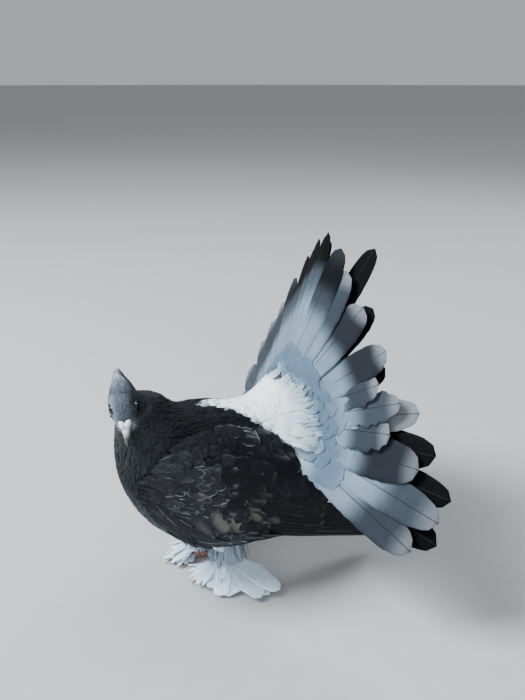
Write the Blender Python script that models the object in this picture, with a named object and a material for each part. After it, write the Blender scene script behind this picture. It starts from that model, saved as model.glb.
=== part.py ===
"""A fantail pigeon standing with its head turned to its left and its tail spread upright.
The bird faces -Y, its left side is +X and the floor is z = 0. Shapes are worked out in
millimetres and stored in metres, with the origin at the bottom centre of the whole."""

import math
import random

import bmesh
import bpy
import numpy as np
from mathutils import Matrix, Vector

GAP = 0.3                       # between two nodes that meet
SIDES = 28                      # points round a ring of the body
FEATHER_SOLVER = "MANIFOLD"     # joins feathers to what they grow from
FRONT_PIVOT = (-8.0, 152.0)     # y, z of the line that the breast and neck rings turn about
REAR_PIVOT = (34.0, 168.0)      # y, z of the line that the rump rings turn about
FLAT_RUN = REAR_PIVOT[0] - FRONT_PIVOT[0]
HEAD_FOOT, NECK_FOOT = -60.0, -36.0
RUMP_FOOT, RUMP_END = 56.0, 92.0
HEAD_AT = (3.0, -50.5, 142.5)
HEAD_YAW, HEAD_PITCH, HEAD_ROLL = 74.0, -32.0, 9.0
TAIL_AT = (0.0, 57.0, 109.0)    # where the shafts of the tail would meet
TAIL_RISE, TAIL_SWEEP = 66.0, 27.0
WING_REACH = 46.0
FEET = {"left": (16.0, 13.0, 12.0), "right": (-15.0, 5.0, -8.0)}
SKY = Vector((0, 0, 1))

# Stations of the body: place, top and bottom from the pivot, half width, squareness
BODY_STATIONS = (
    (-88.0, 23.0, 46.0, 10.0, 2.0),
    (-72.0, 16.0, 50.0, 15.5, 2.0),
    (-58.0, 14.5, 59.0, 21.0, 2.0),
    (-46.0, 14.0, 70.0, 28.0, 2.0),
    (-32.0, 14.0, 87.0, 36.0, 2.1),
    (-16.0, 15.0, 106.0, 41.0, 2.2),
    (0.0, 17.0, 122.0, 42.0, 2.2),
    (20.0, 25.0, 131.0, 42.0, 2.2),
    (42.0, 37.0, 131.0, 39.5, 2.1),
    (62.0, 37.0, 116.0, 34.0, 2.0),
    (80.0, 34.0, 94.0, 25.0, 2.0),
    (97.0, 33.0, 74.0, 16.0, 2.0),
)


def clear_scene():
    for obj in list(bpy.data.objects):
        bpy.data.objects.remove(obj, do_unlink=True)


def linear(hex_colour):
    """An sRGB hex colour as linear red, green and blue."""
    parts = [int(hex_colour[i:i + 2], 16) / 255 for i in (0, 2, 4)]
    return [p / 12.92 if p < 0.04045 else ((p + 0.055) / 1.055) ** 2.4 for p in parts]


def material(name, hex_colour, rough):
    made = bpy.data.materials.new(name)
    made.use_nodes = True
    shader = made.node_tree.nodes["Principled BSDF"]
    shader.inputs["Base Color"].default_value = (*linear(hex_colour), 1)
    shader.inputs["Roughness"].default_value = rough
    return made


def smooth(keys, at):
    """A smooth curve through rows of (place, value, ...), for all the values at once."""
    keys = np.asarray(keys, float)
    x, y = keys[:, 0], keys[:, 1:]
    slope = np.gradient(y, x, axis=0)
    i = int(np.clip(np.searchsorted(x, at) - 1, 0, len(x) - 2))
    h = x[i + 1] - x[i]
    t = float(np.clip((at - x[i]) / h, 0, 1))
    return (
        y[i] * (2 * t**3 - 3 * t**2 + 1) + slope[i] * h * (t**3 - 2 * t**2 + t)
        + y[i + 1] * (3 * t**2 - 2 * t**3) + slope[i + 1] * h * (t**3 - t**2)
    )


def solid(name, points, faces, look=None):
    """A closed mesh object from points in millimetres, its faces turned outwards."""
    mesh = bpy.data.meshes.new(name)
    mesh.from_pydata([tuple(p) for p in points], [], faces)
    shape = bmesh.new()
    shape.from_mesh(mesh)
    bmesh.ops.remove_doubles(shape, verts=shape.verts, dist=1e-4)
    bmesh.ops.recalc_face_normals(shape, faces=shape.faces)
    if shape.calc_volume(signed=True) < 0:
        bmesh.ops.reverse_faces(shape, faces=shape.faces)
    shape.to_mesh(mesh)
    shape.free()
    obj = bpy.data.objects.new(name, mesh)
    bpy.context.scene.collection.objects.link(obj)
    if look:
        mesh.materials.append(look)
    return obj


def loft(name, rings, look=None):
    """A closed solid through rings of equal count, with a flat face on each end."""
    count = len(rings[0])
    points = [p for ring in rings for p in ring]
    faces = []
    for i in range(len(rings) - 1):
        for j in range(count):
            k = (j + 1) % count
            a, b = i * count, (i + 1) * count
            faces += [(a + j, a + k, b + k), (a + j, b + k, b + j)]
    faces.append(tuple(range(count)))
    faces.append(tuple(range(len(points) - count, len(points))))
    return solid(name, points, faces, look)


def boolean(obj, others, operation, solver="EXACT"):
    """Joins or cuts in one step on a collection, then takes the other objects away."""
    group = bpy.data.collections.new("others")
    bpy.context.scene.collection.children.link(group)
    for other in others:
        bpy.context.scene.collection.objects.unlink(other)
        group.objects.link(other)
    step = obj.modifiers.new("step", "BOOLEAN")
    step.operation, step.solver = operation, solver
    step.operand_type, step.collection = "COLLECTION", group
    graph = bpy.context.evaluated_depsgraph_get()
    graph.update()
    made = bpy.data.meshes.new_from_object(obj.evaluated_get(graph))
    obj.modifiers.clear()
    looks = list(obj.data.materials)
    obj.data = made
    obj.data.materials.clear()
    for look in looks:
        obj.data.materials.append(look)
    for other in list(group.objects):
        bpy.data.objects.remove(other, do_unlink=True)
    bpy.data.collections.remove(group)
    return obj


def keep_largest(obj):
    """Only the largest closed surface stays, all in triangles."""
    shape = bmesh.new()
    shape.from_mesh(obj.data)
    shape.faces.ensure_lookup_table()
    seen, groups = set(), []
    for face in shape.faces:
        if face.index in seen:
            continue
        stack, group = [face], []
        seen.add(face.index)
        while stack:
            here = stack.pop()
            group.append(here)
            for edge in here.edges:
                for near in edge.link_faces:
                    if near.index not in seen:
                        seen.add(near.index)
                        stack.append(near)
        groups.append(group)
    groups.sort(key=lambda g: sum(f.calc_area() for f in g))
    small = [f for g in groups[:-1] for f in g]
    if small:
        bmesh.ops.delete(shape, geom=small, context="FACES")
    bmesh.ops.triangulate(shape, faces=shape.faces)
    for face in shape.faces:
        face.material_index = 0
    shape.to_mesh(obj.data)
    shape.free()
    return obj


# Body

def plane_of(place):
    """The pivot and the outward direction, both in y and z, of the ring at a place."""
    if place < 0:
        turn = math.radians(-place)
        return FRONT_PIVOT, (-math.sin(turn), -math.cos(turn))
    if place <= FLAT_RUN:
        rise = FRONT_PIVOT[1] + (REAR_PIVOT[1] - FRONT_PIVOT[1]) * place / FLAT_RUN
        return (FRONT_PIVOT[0] + place, rise), (0.0, -1.0)
    turn = math.radians(place - FLAT_RUN)
    return REAR_PIVOT, (math.sin(turn), -math.cos(turn))


def ring(place, swell=0.0, shift=0.0):
    """One ring of the body, swollen outwards or shifted along the way the body runs."""
    (y0, z0), (dy, dz) = plane_of(place)
    top, bottom, half, square = smooth(BODY_STATIONS, place)
    middle, reach = (top + bottom) / 2, (bottom - top) / 2 + swell
    half = half + swell
    points = []
    for k in range(SIDES):
        turn = 2 * math.pi * k / SIDES
        c, s = math.cos(turn), math.sin(turn)
        x = math.copysign(abs(c) ** (2 / square), c) * half
        r = middle - math.copysign(abs(s) ** (2 / square), s) * reach
        points.append((x, y0 + dy * r - dz * shift, z0 + dz * r + dy * shift))
    return points


def body_piece(name, first, last, look, swell=0.0, step=6.0, ends=(0.0, 0.0)):
    """A length of the body between two places, its ends moved to leave a gap."""
    count = max(2, round((last - first) / step))
    rings = []
    for i in range(count + 1):
        shift = ends[0] if i == 0 else ends[1] if i == count else 0.0
        rings.append(ring(first + (last - first) * i / count, swell, shift))
    return loft(name, rings, look)


# Rings that close the rump behind the tail: place, top and bottom from the pivot, half width
RUMP_CAP = ((96.0, 53.0, 79.0, 16.0), (99.5, 55.0, 76.0, 12.5), (102.0, 58.0, 72.0, 8.5),
            (103.5, 62.0, 68.0, 3.5))


def rump_piece(name, first, look, swell=0.0, shift=0.0):
    """The rump from one place to its rounded end behind the roots of the tail."""
    count = round((RUMP_END - first) / 6)
    rings = [ring(first + (RUMP_END - first) * i / count, swell, shift if i == 0 else 0.0)
             for i in range(count + 1)]
    for place, top, bottom, half in RUMP_CAP:
        (y0, z0), (dy, dz) = plane_of(place)
        out = swell * (1 if place > 103 else 0.5)
        points = []
        for k in range(SIDES):
            turn = 2 * math.pi * k / SIDES
            r = (top + bottom) / 2 - math.sin(turn) * ((bottom - top) / 2 + swell)
            points.append((math.cos(turn) * (half + swell), y0 + dy * r - dz * out, z0 + dz * r + dy * out))
        rings.append(points)
    return loft(name, rings, look)


def inside_body(point):
    """Under 1 inside the body, 1 on its surface."""
    x, y, z = point
    if y < FRONT_PIVOT[0]:
        dy, dz = y - FRONT_PIVOT[0], z - FRONT_PIVOT[1]
        place, r = -math.degrees(math.atan2(-dy, -dz)), math.hypot(dy, dz)
    elif y <= REAR_PIVOT[0]:
        place = y - FRONT_PIVOT[0]
        r = plane_of(place)[0][1] - z
    else:
        dy, dz = y - REAR_PIVOT[0], z - REAR_PIVOT[1]
        place, r = FLAT_RUN + math.degrees(math.atan2(dy, -dz)), math.hypot(dy, dz)
    if place < -80 or place > 110:
        return 9.0
    top, bottom, half, square = smooth(BODY_STATIONS, place)
    across = abs(x) / half
    along = abs(r - (top + bottom) / 2) / ((bottom - top) / 2)
    return (across**square + along**square) ** (1 / square)


# Wings

def wing_axis(y):
    """Height of the line that the wing is wrapped round."""
    return smooth(((-60.0, 92.0), (-20.0, 86.0), (20.0, 79.0), (60.0, 66.0), (95.0, 52.0),
                   (135.0, 36.0)), y)[0]


def wing_span(y):
    """Half width and half height that the wing keeps where no body lies under it."""
    return smooth(((-60.0, 20.0, 30.0), (-35.0, 33.0, 40.0), (-10.0, 42.0, 47.0), (30.0, 44.0, 47.0),
                   (70.0, 45.0, 42.0), (100.0, 47.0, 36.0), (135.0, 50.0, 30.0)), y)


def wing_reach(y, t):
    """How far the wing's inner face lies from its axis: over the body, or free behind it."""
    turn = t / WING_REACH
    c, s = math.cos(turn), math.sin(turn)
    z0 = wing_axis(y)
    low, high = 5.0, 90.0
    for _ in range(15):
        r = (low + high) / 2
        if inside_body((c * r, y, z0 + s * r)) < 1:
            low = r
        else:
            high = r
    flesh = low if low > 6 else 0.0
    half, tall = wing_span(y)
    own = 1 / math.sqrt((c / half) ** 2 + (s / tall) ** 2)
    return (flesh**8 + own**8) ** 0.125


WING_GRID = (np.arange(-56.0, 149.0, 4.0), np.arange(-64.0, 65.0, 4.0))


def wing_chart(sign):
    """The chart of a wing: y along, t round (up is positive) and h out, all in mm."""
    ys, ts = WING_GRID
    if not REACHES:
        REACHES.append(np.array([[wing_reach(y, t) for t in ts] for y in ys]))
    grid = REACHES[0]

    def chart(y, t, h):
        i = float(np.clip((y - ys[0]) / 4, 0, len(ys) - 1.001))
        j = float(np.clip((t - ts[0]) / 4, 0, len(ts) - 1.001))
        a, b, u, v = int(i), int(j), i % 1, j % 1
        r = h + (grid[a, b] * (1 - u) + grid[a + 1, b] * u) * (1 - v)
        r += (grid[a, b + 1] * (1 - u) + grid[a + 1, b + 1] * u) * v
        turn = t / WING_REACH
        return (sign * math.cos(turn) * r, y, wing_axis(y) + math.sin(turn) * r)

    return chart


REACHES = []


def slab(name, chart, across, along, depth, look=None):
    """A closed slab: chart(p, q, h), p over each row's limits, h from and to depth(p, q)."""
    columns, rows = len(across), len(along)
    points, faces = [], []
    for side in (0, 1):
        for v in along:
            for u in across:
                p, q, inner, outer = depth(u, v)
                points.append(chart(p, q, inner if side == 0 else outer))
    n = columns * rows
    for i in range(rows - 1):
        for j in range(columns - 1):
            a = i * columns + j
            b, c, d = a + 1, a + columns + 1, a + columns
            for k in (0, n):
                faces += [(a + k, b + k, c + k), (a + k, c + k, d + k)]
    rim = [(0, j) for j in range(columns)] + [(i, columns - 1) for i in range(1, rows)]
    rim += [(rows - 1, j) for j in range(columns - 2, -1, -1)] + [(i, 0) for i in range(rows - 2, 0, -1)]
    order = [i * columns + j for i, j in rim]
    for k, a in enumerate(order):
        b = order[(k + 1) % len(order)]
        faces += [(a, b, b + n), (a, b + n, a + n)]
    return solid(name, points, faces, look)


# Rows of a vane from root to tip: place along it, share of its half width
LONG_VANE = ((0.0, 0.3), (0.42, 0.74), (0.78, 1.0), (0.93, 0.84), (1.0, 0.4))
SHORT_VANE = ((0.0, 0.45), (0.55, 0.96), (0.86, 0.88), (1.0, 0.42))
SCALE_VANE = ((0.0, 0.6), (0.66, 1.0), (1.0, 0.5))


def vane(chart, root, aim, length, width, lift, tilt=0.0, bend=0.0, thick=0.6, rows=LONG_VANE):
    """One closed feather laid in a chart. Aim and bend are in radians, lift(u) in millimetres;
    tilt raises its left edge and lowers its right one, so that neighbours lap like tiles."""
    points = []
    for bottom in (0, 1):
        for u, share in rows:
            turn = aim + bend * u
            p = root[0] + length * u * math.cos(aim + bend * u / 2)
            q = root[1] + length * u * math.sin(aim + bend * u / 2)
            half = width / 2 * share
            deep = thick * (1 - 0.3 * u) / 2
            for v in (1, -1):
                a = p - math.sin(turn) * half * v
                b = q + math.cos(turn) * half * v
                points.append(chart(a, b, lift(u) + tilt * v * share + (deep if not bottom else -deep)))
    count = len(rows)
    n = 2 * count
    faces = []
    for i in range(count - 1):
        a = 2 * i
        for k in (0, n):
            faces += [(a + k, a + 1 + k, a + 3 + k), (a + k, a + 3 + k, a + 2 + k)]
    rim = [0] + [2 * i + 1 for i in range(count)] + [2 * i for i in range(count - 1, 0, -1)]
    for k, a in enumerate(rim):
        b = rim[(k + 1) % len(rim)]
        faces += [(a, b, b + n), (a, b + n, a + n)]
    return solid("vane", points, faces)


def along(start, end):
    """A lift that goes evenly from one height to another."""
    return lambda u: start + (end - start) * u


# The fleshy part of the wing under its coverts: place, lower and upper edge
WING_EDGES = ((-42.0, -6.0, 8.0), (-34.0, -24.0, 20.0), (-20.0, -38.0, 33.0), (0.0, -45.0, 38.0),
              (16.0, -44.0, 36.0), (30.0, -38.0, 30.0))


def wing(side, look):
    """A folded wing: flight feathers and tiers of coverts on one thin arm."""
    sign = 1 if side == "left" else -1
    chart = wing_chart(sign)
    chance = random.Random(11 if side == "left" else 12)

    def depth(u, v):
        y = -42 + 72 * v
        low, high = smooth(WING_EDGES, y)
        middle = 4 * u * (1 - u)
        thick = 1.6 + 4.6 * middle**0.6 * (1 - abs(y + 10) / 44) ** 0.7 if abs(y + 10) < 44 else 1.6
        return y, low + (high - low) * u, 0.9, 0.9 + thick

    core = slab("wing_" + side, chart, np.linspace(0, 1, 8), np.linspace(0, 1, 9), depth, look)
    vanes = []

    def row(count, starts, ends, width, lifts, tilt, rows, thick=0.6, bend=0.0, spread=1.0):
        """Feathers between two roots and two tips, the first the lowest."""
        for i in range(count):
            f = i / max(1, count - 1)
            root = [starts[0][k] + (starts[1][k] - starts[0][k]) * f for k in (0, 1)]
            tip = [ends[0][k] + (ends[1][k] - ends[0][k]) * f**spread for k in (0, 1)]
            tip[0] += chance.uniform(-1.5, 1.5)
            step = (tip[0] - root[0], tip[1] - root[1])
            vanes.append(vane(chart, root, math.atan2(step[1], step[0]), math.hypot(*step),
                              width * chance.uniform(0.94, 1.06), along(*lifts), -tilt, bend,
                              thick, rows))

    row(7, ((14.0, -42.0), (18.0, -20.0)), ((134.0, -31.0), (88.0, -8.0)), 15.0, (3.4, 3.0), 1.9,
        LONG_VANE, bend=0.08)
    row(7, ((18.0, -22.0), (14.0, 24.0)), ((76.0, -22.0), (66.0, 13.0)), 15.5, (3.6, 6.4), 1.3, SHORT_VANE)
    row(7, ((2.0, -34.0), (0.0, 24.0)), ((36.0, -40.0), (34.0, 21.0)), 16.0, (4.6, 8.6), 0.9, SHORT_VANE)
    row(6, ((-14.0, -28.0), (-12.0, 20.0)), ((15.0, -35.0), (14.0, 22.0)), 16.0, (5.0, 9.0), 0.8, SCALE_VANE)
    row(5, ((-25.0, -18.0), (-25.0, 12.0)), ((-4.0, -27.0), (-4.0, 20.0)), 15.0, (4.4, 8.6), 0.7, SCALE_VANE)
    row(3, ((6.0, 22.0), (2.0, 32.0)), ((50.0, 20.0), (40.0, 33.0)), 15.0, (4.4, 9.6), 0.9, SHORT_VANE)
    boolean(core, vanes, "UNION", FEATHER_SOLVER)
    return keep_largest(core)


# Tail

def tail_frame():
    rise, sweep = math.radians(TAIL_RISE), math.radians(TAIL_SWEEP)
    return Vector((0, math.cos(rise), math.sin(rise))), sweep


def fan_direction(turn):
    """The way a tail feather points, turned from the middle one towards the bird's left."""
    middle, sweep = tail_frame()
    c, s = math.cos(turn), math.sin(turn)
    back = math.sqrt(s * s + 0.03) - math.sqrt(0.03)
    return (middle * c + Vector((s * math.cos(sweep), back * math.sin(sweep), 0))).normalized()


def fan_point(turn, far, h):
    """A point of the fan: turned from its middle, far from its root and h in front."""
    way = fan_direction(turn)
    side = fan_direction(turn + 0.01) - fan_direction(turn - 0.01)
    front = side.cross(way).normalized()
    if front.y > 0:
        front = -front
    return Vector(TAIL_AT) + way * far + front * h


def fan_chart(p, q, h):
    """The fan laid flat: p to the bird's left and q up its middle from the root, in mm."""
    return fan_point(math.atan2(p, q), math.hypot(p, q), h)


TAIL_PARTS = {"tail_right": (-112.0, -39.5), "tail_middle": (-39.5, 37.0), "tail_left": (37.0, 112.0)}
# Turn in degrees and reach of the front feathers, from the bird's right to its left
FRONT_FEATHERS = ((-108.0, 138.0), (-96.0, 146.0), (-84.0, 141.0), (-72.0, 137.0), (-60.0, 133.0),
                  (-48.0, 138.0), (-31.0, 141.0), (-18.0, 146.0), (-7.0, 148.0), (3.0, 139.0),
                  (11.0, 127.0), (25.0, 115.0), (46.5, 112.0), (57.5, 100.0), (68.0, 114.0),
                  (78.0, 106.0), (88.0, 129.0), (97.5, 153.0), (106.5, 146.0))
REAR_FEATHERS = ((-102.0, 141.0), (-90.0, 146.0), (-78.0, 143.0), (-66.0, 139.0), (-53.0, 141.0),
                 (-25.0, 150.0), (-12.0, 144.0), (14.0, 150.0), (27.5, 118.0),
                 (51.0, 119.0), (71.0, 123.0), (83.0, 136.0), (93.0, 153.0), (104.0, 156.0))


def tail_part(name, look):
    """A third of the fan: two layers of tail feathers with coverts before and behind."""
    first, last = TAIL_PARTS[name]
    chance = random.Random(5)
    edge = math.degrees(GAP / 2 / 24)

    def depth(u, v):
        turn = math.radians(first + edge + (last - first - 2 * edge) * u)
        far = 24 + 24 * v
        half = 1.0 + 3.4 * (1 - v) ** 1.2
        root = 7.0 * (1 - v) ** 1.5 * max(0.0, math.cos(turn)) ** 0.5
        return turn, far, -half - 0.8, half + 0.4 + root

    core = slab(name, fan_point, np.linspace(0, 1, 11), np.linspace(0, 1, 4), depth, look)
    vanes = []

    def feather(turn, reach, width, lifts, tilt, start=30.0, rows=LONG_VANE):
        bend, extra = chance.uniform(-0.05, 0.05), chance.uniform(-0.3, 0.3)
        if not first < turn < last:
            return
        way = math.radians(90 - turn)
        root = (math.cos(way) * start, math.sin(way) * start)
        side = 1 if turn >= 0 else -1
        vanes.append(vane(fan_chart, root, way, reach - start, width, along(lifts[0], lifts[1] + extra),
                          -side * tilt, bend, 0.62, rows))

    for turn, reach in FRONT_FEATHERS:
        feather(turn, reach, 25.0 if reach < 140 else 22.5, (0.5, 2.8), 1.35)
    for turn, reach in REAR_FEATHERS:
        feather(turn, reach, 25.0, (-1.9, -3.4), 1.1)
    covers = 3 if name == "tail_middle" else 4
    for i in range(covers):
        turn = first + 15.5 + (last - first - 31) * i / (covers - 1)
        feather(turn, 62 + chance.uniform(-2, 2), 23.0, (2.2, 5.8), 0.7, 27.0, SHORT_VANE)
    for i in range(3):
        turn = first + 18 + (last - first - 36) * i / 2
        feather(turn, 58 + chance.uniform(-3, 3), 25.0, (-3.4, -6.4), 0.6, 27.0, SCALE_VANE)
    boolean(core, vanes, "UNION", FEATHER_SOLVER)
    boolean(core, [rump_piece("around", 20.0, None, swell=GAP)], "DIFFERENCE")
    return keep_largest(core)


# Head

def head_frame():
    """The matrix of the head: x forwards along the bill, y to its left, z up."""
    turn = Matrix.Rotation(math.radians(HEAD_YAW - 90), 4, "Z")
    turn @= Matrix.Rotation(math.radians(-HEAD_PITCH), 4, "Y")
    turn @= Matrix.Rotation(math.radians(HEAD_ROLL), 4, "X")
    return Matrix.Translation(HEAD_AT) @ turn


def placed(points, frame):
    return [tuple(frame @ Vector(p)) for p in points]


# Place along the head, height of its middle, half height and half width
HEAD_STATIONS = ((-17.0, 1.5, 1.5, 1.5), (-15.5, 1.2, 7.0, 6.0), (-10.0, 0.8, 11.6, 9.6),
                 (-4.0, 0.6, 13.0, 11.2), (2.0, 0.4, 12.2, 11.0), (7.5, -0.8, 9.6, 8.8),
                 (11.5, -2.0, 6.6, 6.0), (14.0, -2.6, 4.2, 3.9))


def head_shape(name, look=None, swell=0.0, end=14.0):
    """The skull with its short feathers, out to the root of the bill."""
    rings = []
    for f in (-17.0, -16.6, -15.5, -13.0, -10.0, -6.0, -2.0, 2.0, 5.5, 8.5, 11.2, end):
        middle, tall, half = smooth(HEAD_STATIONS, min(f, 14.0))
        rings.append([(f - swell * (f < -16), math.cos(a) * (half + swell),
                       middle + math.sin(a) * (tall + swell))
                      for a in (2 * math.pi * k / 20 for k in range(20))])
    return loft(name, [placed(r, head_frame()) for r in rings], look)


def ball(name, middle, radii, turn=0.0, look=None, frame=None, rings=10, sides=16):
    """An ellipsoid in the head's frame, turned about its upright axis."""
    shape = bmesh.new()
    bmesh.ops.create_uvsphere(shape, u_segments=sides, v_segments=rings, radius=1)
    fit = (frame or head_frame()) @ Matrix.Translation(middle)
    fit @= Matrix.Rotation(math.radians(turn), 4, "Z") @ Matrix.Diagonal((*radii, 1))
    bmesh.ops.transform(shape, matrix=fit, verts=shape.verts)
    points = [tuple(v.co) for v in shape.verts]
    faces = [[v.index for v in f.verts] for f in shape.faces]
    shape.free()
    return solid(name, points, faces, look)


EYE_AT, EYE_RADIUS = (2.5, 7.7, 2.0), 4.3
LID_RADIUS, LID_THICK = 3.9, 0.8


def lid(name, sign):
    """The ring of bare skin round one eye, seated in the head."""
    rings = []
    for i in range(14):
        a = 2 * math.pi * i / 14
        ring_points = []
        for k in range(5):
            b = 2 * math.pi * k / 5
            r = LID_RADIUS + LID_THICK * math.cos(b)
            ring_points.append((EYE_AT[0] + r * math.cos(a), sign * (10.3 + LID_THICK * math.sin(b)),
                                EYE_AT[2] + r * math.sin(a) * 0.92))
        rings.append(placed(ring_points, head_frame()))
    points = [p for r in rings for p in r]
    faces = [(i * 5 + k, i * 5 + (k + 1) % 5, (i + 1) % 14 * 5 + (k + 1) % 5, (i + 1) % 14 * 5 + k)
             for i in range(14) for k in range(5)]
    return solid(name, points, faces)


# Place along the bill, half width, top and bottom of its upper half and bottom of its lower half
BILL_STATIONS = ((14.3, 3.0, 1.0, -2.9, -5.6), (17.5, 2.4, 0.6, -3.1, -5.5),
                 (21.0, 1.8, -0.1, -3.4, -5.4), (24.5, 1.35, -1.1, -3.9, -5.3),
                 (26.8, 0.9, -2.4, -4.6, -5.6), (28.2, 0.3, -3.9, -5.2, -5.9))


def bill_half(name, upper, look=None, swell=0.0):
    """One half of the bill; the halves part along the line of the mouth."""
    rings = []
    last = 28.2 if upper else 26.4
    for f in np.linspace(14.3, last, 9):
        half, top, mouth, low = smooth(BILL_STATIONS, f)
        if upper:
            up, down = top, mouth
        else:
            up, down, half = mouth - GAP, max(low, mouth - GAP - 2.6 + (f - 14.3) * 0.13), half * 0.86
        points = []
        for k in range(12):
            a = 2 * math.pi * k / 12
            c, s = math.cos(a), math.sin(a)
            bow = math.copysign(abs(s) ** (0.45 if upper == (s < 0) else 1), s)
            height = (up + down) / 2 + bow * ((up - down) / 2 + swell)
            points.append((f + swell * (1 if f > 28 else -0.9 if f < 14.4 else 0), c * (half + swell),
                           height))
        rings.append(placed(points, head_frame()))
    return loft(name, rings, look)


def head(looks):
    """The head with its lids, the cere, both halves of the bill and the eyes."""
    skull = head_shape("head", looks["head"])
    neck = body_piece("throat", -84.0, HEAD_FOOT, None, step=6.0, ends=(0.0, -GAP))
    sockets = []
    lids = []
    for sign in (1, -1):
        lids.append(lid("lid", sign))
        place = (EYE_AT[0], sign * EYE_AT[1], EYE_AT[2])
        sockets.append(ball("socket", place, (EYE_RADIUS + GAP,) * 3, rings=8, sides=12))
        ball("eye_left" if sign > 0 else "eye_right", place, (EYE_RADIUS,) * 3, look=looks["eye"],
             rings=9, sides=14)
    boolean(skull, [neck, *lids], "UNION")
    below = body_piece("below", HEAD_FOOT, NECK_FOOT, None, swell=0.35, step=4.0)
    clear = [bill_half("clear", upper, swell=GAP) for upper in (True, False)]
    boolean(skull, [*sockets, below, *clear], "DIFFERENCE")
    keep_largest(skull)
    bill_half("bill_upper", True, looks["bill"])
    bill_half("bill_lower", False, looks["bill"])
    bulbs = [ball("bulb", (14.6, sign * 2.05, 1.2), (3.7, 2.25, 2.3), -sign * 20, rings=7, sides=12)
             for sign in (1, -1)]
    cere = bulbs[0]
    cere.name = cere.data.name = "cere"
    cere.data.materials.append(looks["cere"])
    boolean(cere, [bulbs[1]], "UNION")
    slits = [ball("slit", (17.2, sign * 2.3, 0.3), (1.9, 0.9, 0.4), -sign * 12, rings=4, sides=6)
             for sign in (1, -1)]
    around = [head_shape("around", swell=GAP), bill_half("around_bill", True, swell=GAP)]
    boolean(cere, [*slits, *around], "DIFFERENCE")
    keep_largest(cere)


def flat_chart(origin, forward, up):
    """A plane chart: q forwards, p to the left and h up, from an origin."""
    forward, up = Vector(forward).normalized(), Vector(up)
    side = up.cross(forward).normalized()
    rise = forward.cross(side)
    return lambda p, q, h: Vector(origin) + side * p + forward * q + rise * h


def crest(look):
    """The peak of long feathers at the back of the crown."""
    chance = random.Random(3)
    frame = head_frame()
    rings = []
    for i in range(5):
        v = i / 4
        wide, thick = 6.6 * (1 - v) ** 0.9 + 0.4, 3.0 * (1 - v) ** 0.8 + 0.4
        rings.append([(-10.0 - 6.2 * v + math.sin(a) * thick, math.cos(a) * wide,
                       6.0 + 8.4 * v + math.sin(a) * thick * 0.6)
                      for a in (2 * math.pi * k / 10 for k in range(10))])
    peak = loft("crest", [placed(r, frame) for r in rings], look)
    turned = frame.to_3x3()
    vanes = []
    for i in range(7):
        f = i / 3 - 1
        behind = 1.1 * (i % 2)
        foot = Vector((-9.4 - behind, f * 5.4, 7.0 - 1.4 * f * f))
        tip = Vector((-16.6 - behind + 1.6 * abs(f), f * 1.5,
                      15.8 - 2.6 * abs(f) + chance.uniform(-0.5, 0.5)))
        way = turned @ (tip - foot)
        chart = flat_chart(frame @ foot, way, turned @ Vector((0.8, f * 0.9, 1.0)))
        vanes.append(vane(lambda p, q, h, c=chart: c(q, p, h), (0, 0), 0.0, way.length, 3.8,
                          along(0.2, 0.5), 0.0, f * 0.06, 0.6, ((0.0, 0.7), (0.5, 1.0), (1.0, 0.24))))
    boolean(peak, vanes, "UNION", FEATHER_SOLVER)
    boolean(peak, [head_shape("around", swell=GAP)], "DIFFERENCE")
    return keep_largest(peak)


# Legs and feet

TOES = (("inner", -36.0, 15.0), ("middle", -8.0, 20.0), ("outer", 22.0, 16.0), ("hind", 188.0, 11.0))
TOE_RADIUS, ANKLE = 2.3, 20.0


def toe_rings(at, way, first, last, radii, rise):
    """Rings along the floor, flat underneath at z = 0 but for a raised root."""
    rings = []
    aim = Vector((math.sin(way), -math.cos(way), 0))
    side = Vector((math.cos(way), math.sin(way), 0))
    for i in range(len(radii)):
        r = radii[i]
        along = first + (last - first) * i / (len(radii) - 1)
        middle = Vector(at) + aim * along
        raised = rise if i == 0 else 0.0
        rings.append([tuple(middle + side * (r * math.cos(a))
                            + SKY * (raised + max(0.0, r * 0.78 + r * math.sin(a))))
                      for a in (2 * math.pi * (k + 0.5) / 8 for k in range(8))])
    return rings


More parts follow.
